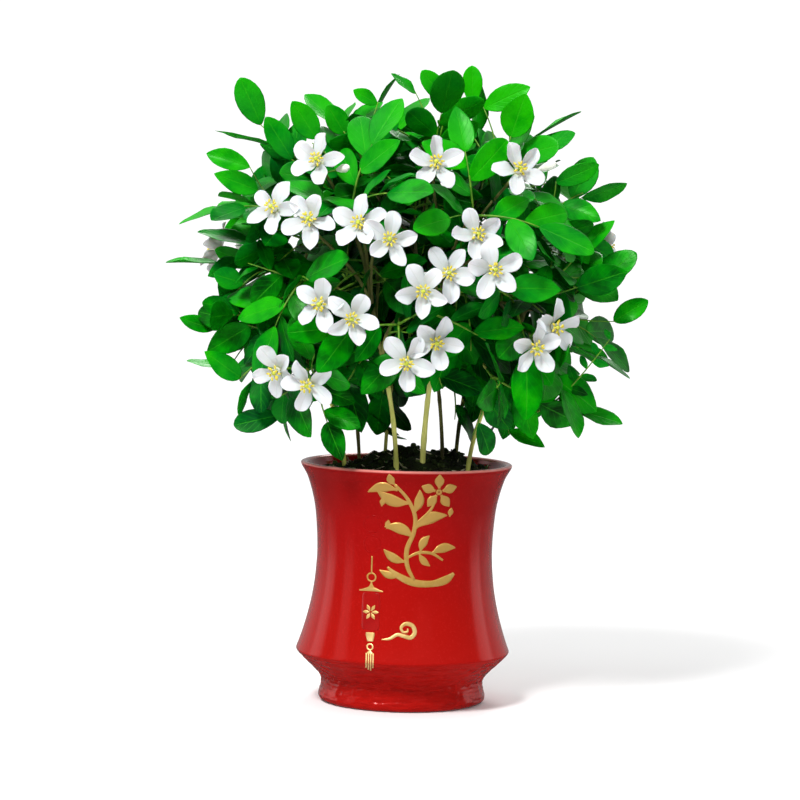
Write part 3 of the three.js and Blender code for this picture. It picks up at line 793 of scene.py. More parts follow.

# %% [markdown]
# ## Bark
#
# The stems differ: some are pale yellow green and smooth, some are old, dark and grey. The stem's
# tone picks its colour from a ramp. Inside the crown the wood is painted darker, as painted shade for
# the shadow of the leaves. Fine cracks run along the stem, so the noise is stretched by reading it
# from the stored place, which is short across the stem and long along it.

# %% Bark
bark, tree, shader = new_material("bark", Specular_IOR_Level=0.35)
tone = tone_of(tree)[0]
place = new_tree_node(tree, "ShaderNodeUVMap", uv_map="Blade").outputs["UV"]
stretched = new_tree_node(tree, "ShaderNodeMapping", {"Vector": place, "Scale": (9, 26, 1)}).outputs["Vector"]
noise_inputs = {"Vector": stretched, "Scale": 1.0, "Detail": 5}
cracks = new_tree_node(tree, "ShaderNodeTexNoise", noise_inputs).outputs["Fac"]
BARK_COLOURS = [
    (0.0, (0.03, 0.022, 0.012)),
    (0.4, (0.17, 0.17, 0.05)),
    (0.7, (0.7, 0.72, 0.16)),
    (1.0, (0.95, 0.95, 0.27)),
]
wood = toned_ramp(tree, tone, 60, 3, 0.2, BARK_COLOURS)
wood = mixed(tree, maths(tree, "MULTIPLY", cracks, 0.14), wood, (0.2, 0.18, 0.07))
# Painted shade: the wood is darkened above the foot of the crown, where the leaves shade it.
crown_shade = fade(tree, object_height(tree)[0], 0.225, 0.27, 0.0, 0.85)
wood = mixed(tree, crown_shade, wood, (0.09, 0.1, 0.03))
tree.links.new(wood, shader.inputs["Base Color"])
roughen(tree, shader, 180, 0.55, 0.8)
bump(tree, shader, cracks, 0.6, 0.0005)
finished(bark)

# %% [markdown]
# ## Soil
#
# Potting soil is nearly black when moist, with brown crumbs and straw-coloured bits. Again the tone
# does the work: the bed is dark, a crumb is brown, and a piece of litter is pale.

# %% Soil
soil_dark, tree, shader = new_material("soil_dark", Specular_IOR_Level=0.25)
SOIL_COLOURS = [
    (0.0, (0.006, 0.005, 0.003)),
    (0.4, (0.018, 0.03, 0.006)),
    (0.7, (0.1, 0.13, 0.04)),
    (1.0, (0.5, 0.46, 0.33)),
]
earth = toned_ramp(tree, tone_of(tree)[0], 110, 6, 0.22, SOIL_COLOURS)
tree.links.new(earth, shader.inputs["Base Color"])
roughen(tree, shader, 300, 0.8, 1.0)
bump(tree, shader, group_node(tree, mottle, Scale=420, Detail=5, Low=0, High=1)["Value"], 0.9, 0.0012)
finished(soil_dark)

# %% [markdown]
# ## Red glaze
#
# The pot wears a deep red glaze under a thick glassy layer. The glaze is thinner, and so paler, on the
# sharp lip, and the pale band there is partly a painted highlight along the rim. The colour follows
# the height, a little lighter low on the body and darker towards the top, with a slow mottle, and the
# clear coat gives the mirror-like gloss. On the hammered wall the glaze pools in the dents, where it
# is darker.

# %% Red glaze
red_glaze, tree, shader = new_material(
    "red_glaze", Coat_Weight=0.16, Coat_Roughness=0.05, Specular_IOR_Level=0.5
)
shader.inputs["Specular Tint"].default_value = (1.0, 0.2, 0.18, 1)
height, place = object_height(tree)
drift = group_node(tree, mottle, Scale=14, Detail=2, Low=-0.05, High=0.05)["Value"]
level = maths(tree, "ADD", maths(tree, "DIVIDE", height, 0.173), drift)
red = ramp(
    tree,
    level,
    [
        (0.0, (0.37, 0.006, 0.004)),
        (0.35, (0.355, 0.005, 0.003)),
        (0.75, (0.31, 0.003, 0.003)),
        (0.93, (0.275, 0.003, 0.003)),
    ],
)
# The pale band on the lip: thinner glaze there, and partly a painted highlight along the rim.
red = mixed(tree, fade(tree, height, 0.171, 0.1722, 0.0, 0.8), red, (0.85, 0.3, 0.26))
flattened = new_tree_node(tree, "ShaderNodeMapping", {"Vector": place, "Scale": (90, 90, 420)})
noise_inputs = {"Vector": flattened.outputs["Vector"], "Scale": 1.0, "Detail": 2}
pools = new_tree_node(tree, "ShaderNodeTexNoise", noise_inputs).outputs["Fac"]
pools = fade(tree, pools, 0.48, 0.66)
low_zone = fade(tree, height, 0.034, 0.038, 0.2, 0.0)
red = mixed(tree, maths(tree, "MULTIPLY", pools, low_zone), red, (0.1, 0.001, 0.001))
fleck = group_node(tree, mottle, Scale=700, Detail=1, Low=-0.3, High=0.12)["Value"]
red = mixed(tree, maths(tree, "MAXIMUM", fleck, 0.0), red, (0.62, 0.03, 0.03))
tree.links.new(red, shader.inputs["Base Color"])
roughen(tree, shader, 50, 0.1, 0.18)
bump(tree, shader, group_node(tree, mottle, Scale=22, Detail=1, Low=0, High=1)["Value"], 0.12, 0.001)
finished(red_glaze)

# %% [markdown]
# ## Deep red
#
# The small panel behind the pendant's flower is the same glaze over a slightly darker colour.

# %% Deep red
deep_colours = (0.29, 0.002, 0.002), (0.34, 0.004, 0.003)
deep_red = plain_finish(
    "deep_red", 60, 3, deep_colours, (50, 0.14, 0.24), (0.1, 0.0005), Coat_Weight=0.16, Coat_Roughness=0.05
)

# %% [markdown]
# ## Gold
#
# The ornament is fired gold lustre: a very thin layer that keeps a satin sheen. It is a little paler
# low on the pot, and fine brush grain runs through it.

# %% Gold
gold, tree, shader = new_material("gold", Specular_IOR_Level=0.5, Metallic=0.45)
height = object_height(tree)[0]
grain = group_node(tree, mottle, Scale=120, Detail=4, Low=-0.12, High=0.12)["Value"]
level = maths(tree, "ADD", maths(tree, "DIVIDE", height, 0.165), grain)
lustre = ramp(
    tree,
    level,
    [
        (0.15, (0.86, 0.66, 0.3)),
        (0.35, (0.8, 0.55, 0.2)),
        (0.6, (0.6, 0.36, 0.08)),
        (0.85, (0.68, 0.4, 0.1)),
    ],
)
tree.links.new(lustre, shader.inputs["Base Color"])
roughen(tree, shader, 200, 0.3, 0.48, detail=3)
bump(tree, shader, grain, 0.15, 0.0003)
finished(gold)

# %% [markdown]
# ## Leafy shoots
#
# Besides its leaves, a shoot may carry single leaflets of the crown's outline, each on a stalk that
# leaves the shoot's foot. Whatever kind it is, a leaflet's tip tells how it grew in the plain solid.

# %% Leaflets as they grew
TIP_SLACK = 0.05
RACHIS_SLACK = 0.9


def grow_rachis(skin, curve):
    curved_tube(skin, curve, 8, lambda t: RACHIS_RADIUS * (1.25 - 0.75 * t), 6)


def outer_plan(outer, at, n):
    """A leaflet of the outline, and the curve of its stalk."""
    start, tip, seen = Vector(outer[0]), Vector(outer[1]), outer[2]
    heart, outward = shoot_frame(at)[:2]
    foot = heart - outward * SHOOT_AXIS / 4
    reach = (foot - start).length
    curve = [foot, heart + outward * reach * 0.4, start]
    length = (tip - start).length
    width = max(seen, length * 0.5)
    along = (tip - start).normalized()
    face = square_to(Vector((0, -1, 0.3)), along)
    return curve, {
        "base": bezier(curve, 0.5).lerp(start, 0.95),
        "along": along,
        "face": face,
        "length": length,
        "width": width,
        "droop": 2,
        "lean": math.acos(seen / width) * (1 if vary(n, 1, 17) > 0.5 else -1),
        "key": 900 + n,
    }


def as_grown(plan, tree):
    """The way a leaflet grew in the plain solid, or None where it didn't."""
    ways = [turned(plan, *way) for way in TRIES]
    gaps = [distance_to(tree, tip_of(way)) for way in ways]
    return ways[gaps.index(min(gaps))] if min(gaps) < TIP_SLACK else None


print("a leaflet counts as found within", TIP_SLACK, "mm")

# %% [markdown]
# Now the shoots grow. For each leaf the rachis tells which nudge it got, and each leaflet's tip
# tells which try it got. A leaflet that found no room in the plain solid isn't grown here either.

# %% Grow the shoots
grown_leaflets = []


def grow_leaf(skin, tree, n, at, swing, roll, turn):
    plans = [leaf_plan(n, at, swing, roll, turn, nudge) for nudge in NUDGES]
    gaps = [distance_to(tree, curve[2]) for curve, _ in plans]
    if min(gaps) > RACHIS_SLACK:
        return
    curve, leaflets = plans[gaps.index(min(gaps))]
    grow_rachis(skin, curve)
    for grown in filter(None, (as_grown(plan, tree) for plan in leaflets)):
        grown_leaflets.append(grown)
        leaflet(skin, grown)


for n, (at, swing) in enumerate(SHOOTS):
    name = f"leafy_shoot_{n + 1}"
    tree = corners_of(name)
    skin = Skin()
    heart, outward = shoot_frame(at)[:2]
    axis = [heart - outward * SHOOT_AXIS * (1 - t / 3) for t in range(4)]
    tube(skin, axis, [RACHIS_RADIUS * r for r in (1.1, 1.2, 1.25, 1.6)], 8, 0.5, 1)
    roll = 360 * vary(n, 1, 16)
    for turn in range(3):
        grow_leaf(skin, tree, n, at, swing, roll, turn)
    for k, outer in enumerate(OUTER_LEAFLETS):
        curve, plan = outer_plan(outer, at, k)
        grown = as_grown(plan, tree)
        if grown:
            grown_leaflets.append(grown)
            grow_rachis(skin, curve)
            leaflet(skin, grown)
    skin.piece(f"leaves_{n + 1}", [leaf_green, young_green], "leaf", [name])
print(len(grown_leaflets), "leaflets matched to the plain solids")

# %% [markdown]
# ## Blossoms
#
# A flower faces out of the crown. Its five petals are broad blades that rise from the throat and
# curl back at the tip. Its middle stands one stalk's length in front of the blossom's foot, where the
# twig ends. Two flowers of one blossom share that foot, so it lies between them.

# %% Where a flower stands
PETALS = 5
PETAL_LENGTH = 20
THROAT_DEPTH = 4
FLOWER_STALK = 13
KNUCKLE_RADIUS = 1.3
STAMENS = 10
FRONTWARD = 0.9
SIDEWARD = 0.35


def flower_face(centre, frontward=FRONTWARD):
    forward = Vector((0, -frontward if centre[1] < 0 else 0, 0.1))
    return (outward_at(centre) + forward).normalized()


def blossom_foot(first, second):
    centre = Vector(first)
    face = flower_face(centre)
    foot = centre - face * (FLOWER_STALK + 7)
    return foot.lerp(Vector(second), 0.3) - face * 6 if second else foot


print("the first blossom's foot:", [round(c) for c in blossom_foot(*BLOSSOMS[0][:2])])

# %% [markdown]
# A petal is the same kind of blade as a leaflet, only wider and thicker. No two petals of a real
# flower rise, twist or curl alike, so each of these three is varied, and some tips are pointed.

# %% A petal
def petal(skin, index, number, centre, face, sideways, upward):
    turn = 12 * (vary(index, number, 11) - 0.5)
    around = math.radians(72 * number + turn + 20 * index)
    lift = math.radians(5 + 14 * vary(index, number, 12) + 14 * vary(index, number, 41))
    radial = sideways * math.cos(around) + upward * math.sin(around)
    tip = centre + radial * PETAL_LENGTH * math.cos(lift) + face * PETAL_LENGTH * math.sin(lift) * 0.8
    base = centre + radial * 0.7 - face * 2.2
    along = (tip - base).normalized()
    key = index * 11 + number
    pointed = vary(key, 1, 31) > 0.6
    lean = math.radians(58 * (vary(key, 5, 39) - 0.5))
    plan = {
        "base": base,
        "along": along,
        "face": Quaternion(along, lean) @ square_to(face, along),
        "length": (tip - base).length * (0.97 + 0.1 * vary(key, 6, 40)),
        "width": 13.0 + 3.4 * (vary(key, 2, 32) - 0.5),
        "droop": -2.0 + 7.5 * vary(key, 3, 33),
        "key": key,
    }
    powers = (0.95, 0.66) if pointed else (0.85, 0.44)
    blade(skin, plan, 0.5, 0.55, powers, 1.8 + 2.2 * vary(key, 4, 34), 1.1, slot=0)


print("petals are about", PETAL_LENGTH, "mm long and 13 mm wide")

# %% [markdown]
# Ten thin filaments stand in the throat, long and short by turns, each with an anther, round one
# thicker pistil. Behind the flower sit a short tube and a green calyx.

# %% Stamens and the whole flower
def stamens(skin, index, centre, face, sideways, upward):
    for n in range(STAMENS):
        around = math.radians(36 * n + 14 * (vary(index, n, 35) - 0.5))
        radial = sideways * math.cos(around) + upward * math.sin(around)
        open_out = math.radians((6 if n % 2 else 16) + 8 * vary(index, n, 36))
        way = face * math.cos(open_out) + radial * math.sin(open_out)
        foot = centre + radial * 1.1 - face * 1.5
        length = (7.4 if n % 2 else 5.8) + 1.2 * vary(index, n, 37)
        end = foot + way * length + radial * 0.8
        curve = [foot, foot + way * length * 0.6 - radial * 0.4, end]
        curved_tube(skin, curve, 4, lambda t: 0.42 - 0.16 * t, 5, slot=3)
        lean = (radial + sideways * (vary(index, n, 38) - 0.5)).normalized()
        bead(skin, end + way * 0.3, lean, 0.85, 1.55, 6, 5, 0.5, 2)


def flower(skin, index, centre, foot, frontward):
    face = flower_face(centre, frontward)
    sideways = UP.cross(face).normalized()
    upward = face.cross(sideways)
    for number in range(PETALS):
        petal(skin, index, number, centre, face, sideways, upward)
    stamens(skin, index, centre, face, sideways, upward)
    style = [centre + face * d for d in (-2, 1, 3.4, 5)]
    tube(skin, style, [0.95, 0.75, 0.6, 0.6], 7, 0.5, 1)
    bead(skin, centre + face * 5.4, face, 1.8, 1.1, 8, 5, 0.5, 4)
    back = centre - face * THROAT_DEPTH * 0.6
    throat = [back - face * 1.6, back, centre - face * 0.8, centre + face * 0.2]
    tube(skin, throat, [1.0, 1.6, 2.1, 2.5], 10, 0.5, 3)
    bead(skin, back - face * 1.4, face, 1.75, 1.5, 8, 5, 0.5, 1)
    curve = [foot, back - face * FLOWER_STALK * 0.5, back]
    curved_tube(skin, curve, 7, lambda t: 0.72 + 0.2 * t, 6)


print("one flower has", PETALS, "petals and", STAMENS, "stamens")

# %% [markdown]
# A closed bud is a tube that swells and closes again, on its own short stalk. It stands beside the
# flower, and with it the blossom is complete: one or two flowers, perhaps a bud, and a shared foot.

# %% Buds, and grow the blossoms
def bud(skin, index, centre, foot):
    face = flower_face(centre)
    around = math.radians(360 * vary(index, 5, 13))
    middle = centre + face * 3 + Vector((math.cos(around), 0, math.sin(around))) * 19
    axis = (middle - foot).normalized()
    reach = [-8, -6, -3.5, -1, 1.5, 4, 6, 7.4, 8]
    plump = [1.1, 1.6, 2.3, 2.8, 3.1, 2.8, 2.1, 1.1, 0.4]
    tube(skin, [middle + axis * r for r in reach], plump, 10, 0.5, 3)
    bead(skin, middle - axis * 7.6, axis, 1.5, 1.4, 8, 5, 0.5, 1)
    stalk = [foot.lerp(middle - axis * 7.6, k / 5) for k in range(6)]
    tube(skin, stalk, [0.6] * 5 + [0.8], 6, 0.5, 1)


for n, (first, second, has_bud) in enumerate(BLOSSOMS):
    skin = Skin()
    foot = blossom_foot(first, second)
    flower(skin, n, Vector(first), foot, FRONTWARD)
    if second:
        flower(skin, n + 0.5, Vector(second), foot, SIDEWARD)
    if has_bud:
        bud(skin, n, Vector(first), foot)
    bead(skin, foot, flower_face(Vector(first)), 1.3, 1.5, 8, 5, 0.5, 1)
    materials = [petal_white, young_green, anther_yellow, cream, knob_green]
    skin.piece(f"flowers_{n + 1}", materials, "petal", [f"blossom_{n + 1}"])
print(sum(2 if second else 1 for _, second, _ in BLOSSOMS), "flowers in", len(BLOSSOMS), "blossoms")

# %% [markdown]
# ## Stems and twigs
#
# Each stem is a slender tube that leaves the soil upright and bends out into the crown. A woody
# stem is never an even pipe: it swells where a twig leaves it and has old leaf scars, so its radius
# gets a small knob every few centimetres. First, each blossom and each shoot is given to the stem
# whose top is nearest.

# %% Stems and what they carry
def stem_curve(foot, top):
    start = Vector((*foot, soil_top(math.hypot(*foot)) - STEM_BURIED))
    end = Vector(top)
    rise = end.z - start.z
    pull = Vector(((start.x - end.x) * 0.25, (start.y - end.y) * 0.25, -rise * 0.3))
    return [start, start + Vector((0, 0, rise * 0.45)), end + pull, end]


def twig_curve(stem, share, end, outward, bow):
    start = bezier(stem, share)
    reach = (end - start).length
    swing = 0 if bow == 0 else reach * 0.22
    sideways = Vector((math.cos(bow), math.sin(bow), 0.2))
    way = bezier_way(stem, share)
    return [start, start + way * reach * 0.4 + sideways * swing, end - outward * reach * 0.35, end]


ends = []
for first, second, _ in BLOSSOMS:
    foot = blossom_foot(first, second)
    outward = (Vector(first) - foot).normalized()
    ends.append((foot - outward * (KNUCKLE_RADIUS + GAP), outward))
for at, _ in SHOOTS:
    heart, outward = shoot_frame(at)[:2]
    ends.append((heart - outward * (SHOOT_AXIS + GAP), outward))

families = [[] for _ in STEMS]
for end in ends:
    reaches = [(Vector(top) - end[0]).length for _, top, _, _ in STEMS]
    families[reaches.index(min(reaches))].append(end)
print("ends carried by each stem:", [len(family) for family in families])

# %% [markdown]
# A twig took one of six ways round its neighbours. The middle of the right way is one twig radius
# from a corner of the plain solid, so the way whose middle misses that distance least is grown.

# %% Grow the stems
woody_curves = []
for n, (foot, top, radius, tone) in enumerate(STEMS):
    name = f"stem_{n + 1}"
    tree = corners_of(name)
    skin = Skin()
    curve = stem_curve(foot, top)
    steps = [k / 40 for k in range(41)]
    radii = []
    for k, t in enumerate(steps):
        knob = 0.22 * max(0, math.cos(TURN * (t * 6.5 + vary(n, 1, 41)))) ** 6
        radii.append((radius * 0.8 * (1 - t) + TWIG_RADIUS * 1.15 * t) * (1 + knob + 0.08 * vary(n, k, 42)))
    tube(skin, [bezier(curve, t) for t in steps], radii, 10, tone, 0)
    woody_curves.append(curve)
    families[n].sort(key=lambda end: end[0].z)
    for k, (point, outward) in enumerate(families[n]):
        share = 0.5 + 0.47 * (k + 1) / len(families[n])
        twigs = [twig_curve(curve, share, point, outward, bow) for bow in BOWS]
        misses = [abs(distance_to(tree, bezier(twig, 0.5)) - TWIG_RADIUS * 0.9) for twig in twigs]
        twig = twigs[misses.index(min(misses))]
        woody_curves.append(twig)
        shares = [j / 12 for j in range(13)]
        girth = [TWIG_RADIUS * (1.15 - 0.3 * t) * (1 + 0.12 * vary(k, j, 43)) for j, t in enumerate(shares)]
        tube(skin, [bezier(twig, t) for t in shares], girth, 7, tone * 0.6 + 0.2, 0)
    skin.piece(f"wood_{n + 1}", [bark], "bark", [name])
print(len(woody_curves), "stems and twigs")

# %% [markdown]
# ## Inner leaves
#
# The plain solids hold only as many leaflets as their work needs, but a healthy bush is dense: you
# can't see through it. So more leaves fill the inside. A leaflet is kept only if it hides no flower,
# isn't laid over a leaflet that is already there, leaves the stems free and stays in the crown.

# %% Room for an inner leaflet
INNER_TRIES = 2600
INNER_LEAVES = 210
FLOWER_VIEW = 15
flower_views = []
for first, second, _ in BLOSSOMS:
    flower_views.append((Vector(first), flower_face(first)))
    if second:
        flower_views.append((Vector(second), flower_face(second, SIDEWARD)))


def hides_flower(point, room):
    for centre, face in flower_views:
        ahead = (point - centre).dot(face)
        if ahead > -6 and (point - centre - face * ahead).length < room:
            return True
    return False


centres = [plan["base"] + plan["along"] * plan["length"] / 2 for plan in grown_leaflets]


def has_room(plan):
    middle = plan["base"] + plan["along"] * plan["length"] / 2
    tip = tip_of(plan)
    if hides_flower(middle, FLOWER_VIEW + 4) or hides_flower(tip, FLOWER_VIEW) or tip.z < 184:
        return False
    if min((middle - other).length for other in centres) < (11 if middle.y < 0 else 9):
        return False
    if abs(middle.x - 6) < 40 and middle.y < 4 and middle.z < 232:
        return False
    return sum(((p - c) / h) ** 2 for p, c, h in zip(tip, CROWN_CENTRE, CROWN_HALF)) <= 1.0


print(len(flower_views), "flowers stay in view")

# %% [markdown]
# Each inner leaf springs from the nearest twig. A third of them are aimed at the hollow behind the
# front flowers, where the crown would else be thin. Leaves with fewer than two leaflets are left out.

# %% Fill the crown
wood_points = [bezier(curve, 0.25 + 0.7 * k / 9) for curve in woody_curves for k in range(10)]
wood_tree = KDTree(len(wood_points))
for n, point in enumerate(wood_points):
    wood_tree.insert(point, n)
wood_tree.balance()

inner = [Skin() for _ in range(8)]
inner_count = 0
for n in range(INNER_TRIES):
    if inner_count == INNER_LEAVES:
        break
    around, height = TURN * vary(n, 1, 51), 2 * vary(n, 2, 52) - 1
    reach = 0.15 + 0.62 * vary(n, 3, 53) ** 0.6
    ring = math.sqrt(1 - height**2)
    way = Vector((math.cos(around) * ring, math.sin(around) * ring, height))
    heart = Vector(c + w * h * reach for c, w, h in zip(CROWN_CENTRE, way, CROWN_HALF))
    if n % 3 == 0:
        heart = Vector((120 * (vary(n, 3, 53) - 0.5), 10 + 70 * vary(n, 1, 51), 240 + 130 * vary(n, 2, 52)))
        way = Vector((vary(n, 8, 58) - 0.5, 0.1, vary(n, 9, 59) - 0.5)).normalized()
    if heart.z < 196:
        continue
    foot = wood_tree.find(heart)[0]
    astray = Vector((vary(n, 4, 54) - 0.5, vary(n, 5, 55) - 0.5, vary(n, 6, 56) - 0.5))
    along = (way + astray * 1.3).normalized()
    face = square_to(way * 0.6 + UP * 0.5 + Vector((0, -0.3, 0)), along)
    across = face.cross(along)
    length = 40 + 8 * vary(n, 7, 57)
    curve = [heart, heart + along * length * 0.55 + face * 4, heart + along * length - face * 5]
    kept = []
    for k in range(len(LEAFLETS)):
        plan = leaflet_plan(curve, face, across, 400 + n, k)
        if has_room(plan):
            kept.append(turned(plan, 0, 1))
            centres.append(plan["base"] + plan["along"] * plan["length"] / 2)
    if len(kept) < 2:
        continue
    skin = inner[inner_count % 8]
    inner_count += 1
    grow_rachis(skin, curve)
    petiole = [foot, foot.lerp(heart, 0.5) + UP * 2, heart]
    curved_tube(skin, petiole, 6, lambda t: 0.85, 6)
    for plan in kept:
        leaflet(skin, plan)
print(inner_count, "inner leaves,", len(centres) - len(grown_leaflets), "leaflets")

# %% [markdown]
# ## A young twig
#
# Low on the right a thin new twig reaches out, with small leaves that have only just opened. It is a
# tube along one curve, with small leaflets left and right by turns.

# %% A young twig
YOUNG_TWIG = [Vector(p) for p in ((86, -34, 212), (104, -40, 216), (122, -44, 240), (141, -46, 267))]
girth = [0.9 - 0.035 * k for k in range(17)]
tube(inner[0], [bezier(YOUNG_TWIG, k / 16) for k in range(17)], girth, 6, 0.5, 1)
for n in range(11):
    share = 0.3 + 0.07 * n
    side = 1 if n % 2 else -1
    way = bezier_way(YOUNG_TWIG, share)
    aside = way.cross(Vector((0, -1, 0.2))).normalized() * side
    size = 15 - 0.75 * n + 3 * vary(n, 1, 74)
    small = {
        "base": bezier(YOUNG_TWIG, share),
        "along": (way * 0.5 + aside).normalized(),
        "length": size,
        "width": size * 0.55,
        "droop": 1,
        "key": 960 + n,
    }
    small["face"] = square_to(Vector((0.3 * (vary(n, 2, 75) - 0.5), -1, 0.4)), small["along"])
    leaflet(inner[0], small)
for n, skin in enumerate(inner):
    made = skin.piece(f"inner_leaves_{n + 1}", [leaf_green, young_green], "leaf")
    print(made.name, len(made.data.polygons), "faces")

# %% [markdown]
# ## The pot
#
# The body is thrown on a wheel, so it is a turned profile: a few radii and heights, with a smooth
# curve through them. The same curve gives the pot's radius at any height, which the ornament needs.

# %% Pot profile
SHOULDER_HEIGHT = 38
WALL = 5
FLOOR_TOP = 11
POT_SEGMENTS = 256
# The hammered wall: the height of a row of dents, and how many dents a row has.
DENT_ROW = 3.1
DENTS_ROUND = 34
# Radius and height down the outside, from under the lip to the foot.
PROFILE = [
    (76.0, 171.2), (75.2, 169.3), (73.4, 166.4), (70.9, 161.5), (67.6, 151), (65.1, 139), (63.5, 122),
    (63.1, 108), (63.7, 95.8), (64.9, 84), (66.8, 72.7), (69.5, 61), (72.7, 49.7), (75.3, 42), (76.5, 38.8),
    (76.9, 37.2), (76.2, 35.6), (73.6, 32.8), (69.8, 29), (65.4, 24.8), (61.6, 20.9), (59.4, 17.6),
    (58.7, 14.6), (59.2, 10), (60.2, 6), (60.3, 3.6), (59.2, 1.6), (56.9, 0.3), (55, 0),
]


def smooth_through(points, per_step):
    """A Catmull-Rom curve through the points."""
    points = [np.array(p, dtype=float) for p in points]
    points = [2 * points[0] - points[1], *points, 2 * points[-1] - points[-2]]
    out = []
    for a, b, c, d in zip(points, points[1:], points[2:], points[3:]):
        for k in range(per_step):
            t = k / per_step
            square, cube = 2 * a - 5 * b + 4 * c - d, 3 * b - a - 3 * c + d
            out.append(0.5 * (2 * b + (c - a) * t + square * t**2 + cube * t**3))
    return out + [points[-2]]


outside = np.array(smooth_through(PROFILE, 5))


def pot_radius(height):
    return float(np.interp(height, outside[::-1, 1], outside[::-1, 0]))


print("pot: foot", pot_radius(0.2), "waist", pot_radius(108), "rim", pot_radius(171))

# %% [markdown]
# The wall between the shoulder and the foot is hammered: rows of shallow dents that catch the light
# in short level strokes. They are real relief in the mesh and not a bump, because the outline shows
# them too.

# %% The hammered wall
def hammered(angle, height):
    """The dents' depth: level strokes in staggered rows, deepest between shoulder and neck."""
    if height > SHOULDER_HEIGHT - 1 or height < 1.5:
        return 0.0
    shallow = min(1, (SHOULDER_HEIGHT - 1 - height) / 3) * min(1, (height - 1.5) / 3)
    turn = Vector((math.cos(angle), math.sin(angle), 0))
    sway = 0.9 * noise.noise(turn * 2.4 + UP * height * 0.1)
    row = height / DENT_ROW + sway
    level = math.floor(row)
    # Along each row the strokes follow one another, each row starting at its own place.
    start = 7.3 * vary(level, 1, 71) + 0.8 * noise.noise(turn * 5 + UP * level * DENT_ROW)
    around = angle / math.tau * DENTS_ROUND + start
    stroke_share = around - math.floor(around)
    across = abs(2 * (row - level) - 1)
    dent = (1 - across**2) * math.sin(math.pi * stroke_share) ** 0.6
    depth = 1.1 if height > 15 else 0.6
    size = 0.55 + 0.9 * vary(level, math.floor(around), 72)
    return -shallow * depth * size * dent


print("a dent at 25 mm:", round(min(hammered(k / 100, 25) for k in range(100)), 2), "mm")

# %% [markdown]
# A closed pot is one skin: up the outside from the foot's middle, over the lip, and down the inside.
# The rings are turned about the axis, and those of the outside are dented.

# %% Turn the pot
pot_skin = Skin()
inside = [(r - WALL, z) for r, z in smooth_through(PROFILE[1:14], 3)]
inside = [p for p in inside if p[1] > SHOULDER_HEIGHT + 6]
lip = [(76.1, 171.9), (75.6, 172.5), (74.7, 172.9), (73.6, 173), (72.4, 172.8), (71.4, 172.2), (70.8, 171.2)]
up_the_outside = [(0.4, 0), (20, 0), (40, 0), (50, 0), *[(r, z) for r, z in outside[::-1]]]
inside_floor = [(71, 40), (66, 30), (57, 22), (53.5, 16), (51, FLOOR_TOP), (30, FLOOR_TOP), (0.4, FLOOR_TOP)]
down_the_inside = [*inside, *inside_floor]
pot_profile = [*up_the_outside, *lip, *down_the_inside]
angles = np.linspace(0, 2 * math.pi, POT_SEGMENTS, endpoint=False)
rows = []
for place, (r, z) in enumerate(pot_profile):
    on_outside = 4 < place < len(up_the_outside)
    ring = []
    for a in angles:
        radius = r + (hammered(a, z) if on_outside else 0)
        ring.append((radius * math.cos(a), radius * math.sin(a), z))
    rows.append(ring)
# Seen from the last ring, inside the pot, the rings have to run the other way round.
pot_skin.rings([ring[::-1] for ring in rows][::-1], 0.5, 0)
pot_skin.piece("glazed_pot", [red_glaze], "red_glaze", ["pot"])
print("pot rings:", len(rows))

# %% [markdown]
# ## The gold ornament
#
# The front carries a gold ornament. A brush stroke is a ribbon: a line through a few points, with a
# width at each. Each ribbon is laid on the pot by height and sideways distance, with its middle a
# little proud of the glaze and its edges just in it, so it catches the light as real relief.

# %% Brush strokes on the pot
PROUD = 0.18
ORNAMENT_RISE = 7
# Across a ribbon: how far to the side, and how high above the glaze.
RIBBON = [(1, -0.25), (0.6, 0.8), (0, 1), (-0.6, 0.8), (-1, -0.25), (-0.6, -1.2), (0.6, -1.2)]


def on_pot(x, z, proud):
    radius = pot_radius(z) + proud
    return (x, -math.sqrt(radius**2 - x**2), z)


def stroke(skin, points, slot=0, proud=PROUD, tone=0.5):
    """points are (sideways, height, half width). The ribbon is a flat closed tube."""
    line = np.array(smooth_through(points, 6)) + np.array((0, ORNAMENT_RISE, 0))
    ways = np.gradient(line[:, :2], axis=0)
    ways /= np.maximum(np.linalg.norm(ways, axis=1)[:, None], 1e-6)
    rows = []
    for (x, z, half), (wx, wz) in zip(line, ways):
        half = max(half, 0.12)
        row = []
        for share, height in RIBBON:
            row.append(on_pot(x + wz * share * half, z - wx * share * half, proud * height))
        rows.append(row)
    skin.rings(rows, tone, slot)


def ring_stroke(skin, x, z, radius, half, slot=0, proud=PROUD):
    turns = [TURN * k / 12 for k in range(13)]
    stroke(skin, [(x + radius * math.sin(t), z + radius * math.cos(t), half) for t in turns], slot, proud)


def leaf_stroke(skin, x, z, angle, length, half, bend=0.0):
    a = math.radians(angle)
    ux, uz = math.cos(a), math.sin(a)
    points = []
    for share, width in ((0, 0.25), (0.12, 0.35), (0.35, 0.9), (0.6, 1.0), (0.85, 0.5), (1, 0.08)):
        side = bend * math.sin(math.pi * share)
        far = length * share
        points.append((x + ux * far - uz * side, z + uz * far + ux * side, half * width))
    stroke(skin, points)


print("a ribbon stands", PROUD, "mm proud of the glaze")

# %% [markdown]
# The sprig is drawn as a painter would: first the branches, each in one stroke that swells and
# thins, then the leaves, and at last a flower of five petals round a small ring, and three buds.

# %% The sprig
sprig = Skin()
for branch in (
    [(-12, 97, 0.8), (-6, 92, 2.2), (6, 86.6, 2.9), (19, 85.6, 2.5), (29, 88, 3.2), (35, 92.4, 1.2)],
    [
        (7, 88, 1.2), (2, 98, 1.7), (1.5, 110, 1.9), (6, 122, 1.7), (6.5, 134, 1.6), (1, 146, 1.4),
        (-8, 156, 1.1),
    ],
    [(7, 128, 1.0), (13, 133, 1.2), (18, 139, 1.1), (21, 146, 0.9)],
    [(2, 104, 0.9), (10, 107.6, 1.2), (19, 107, 1.1), (27, 102, 0.8)],
):
    stroke(sprig, branch)
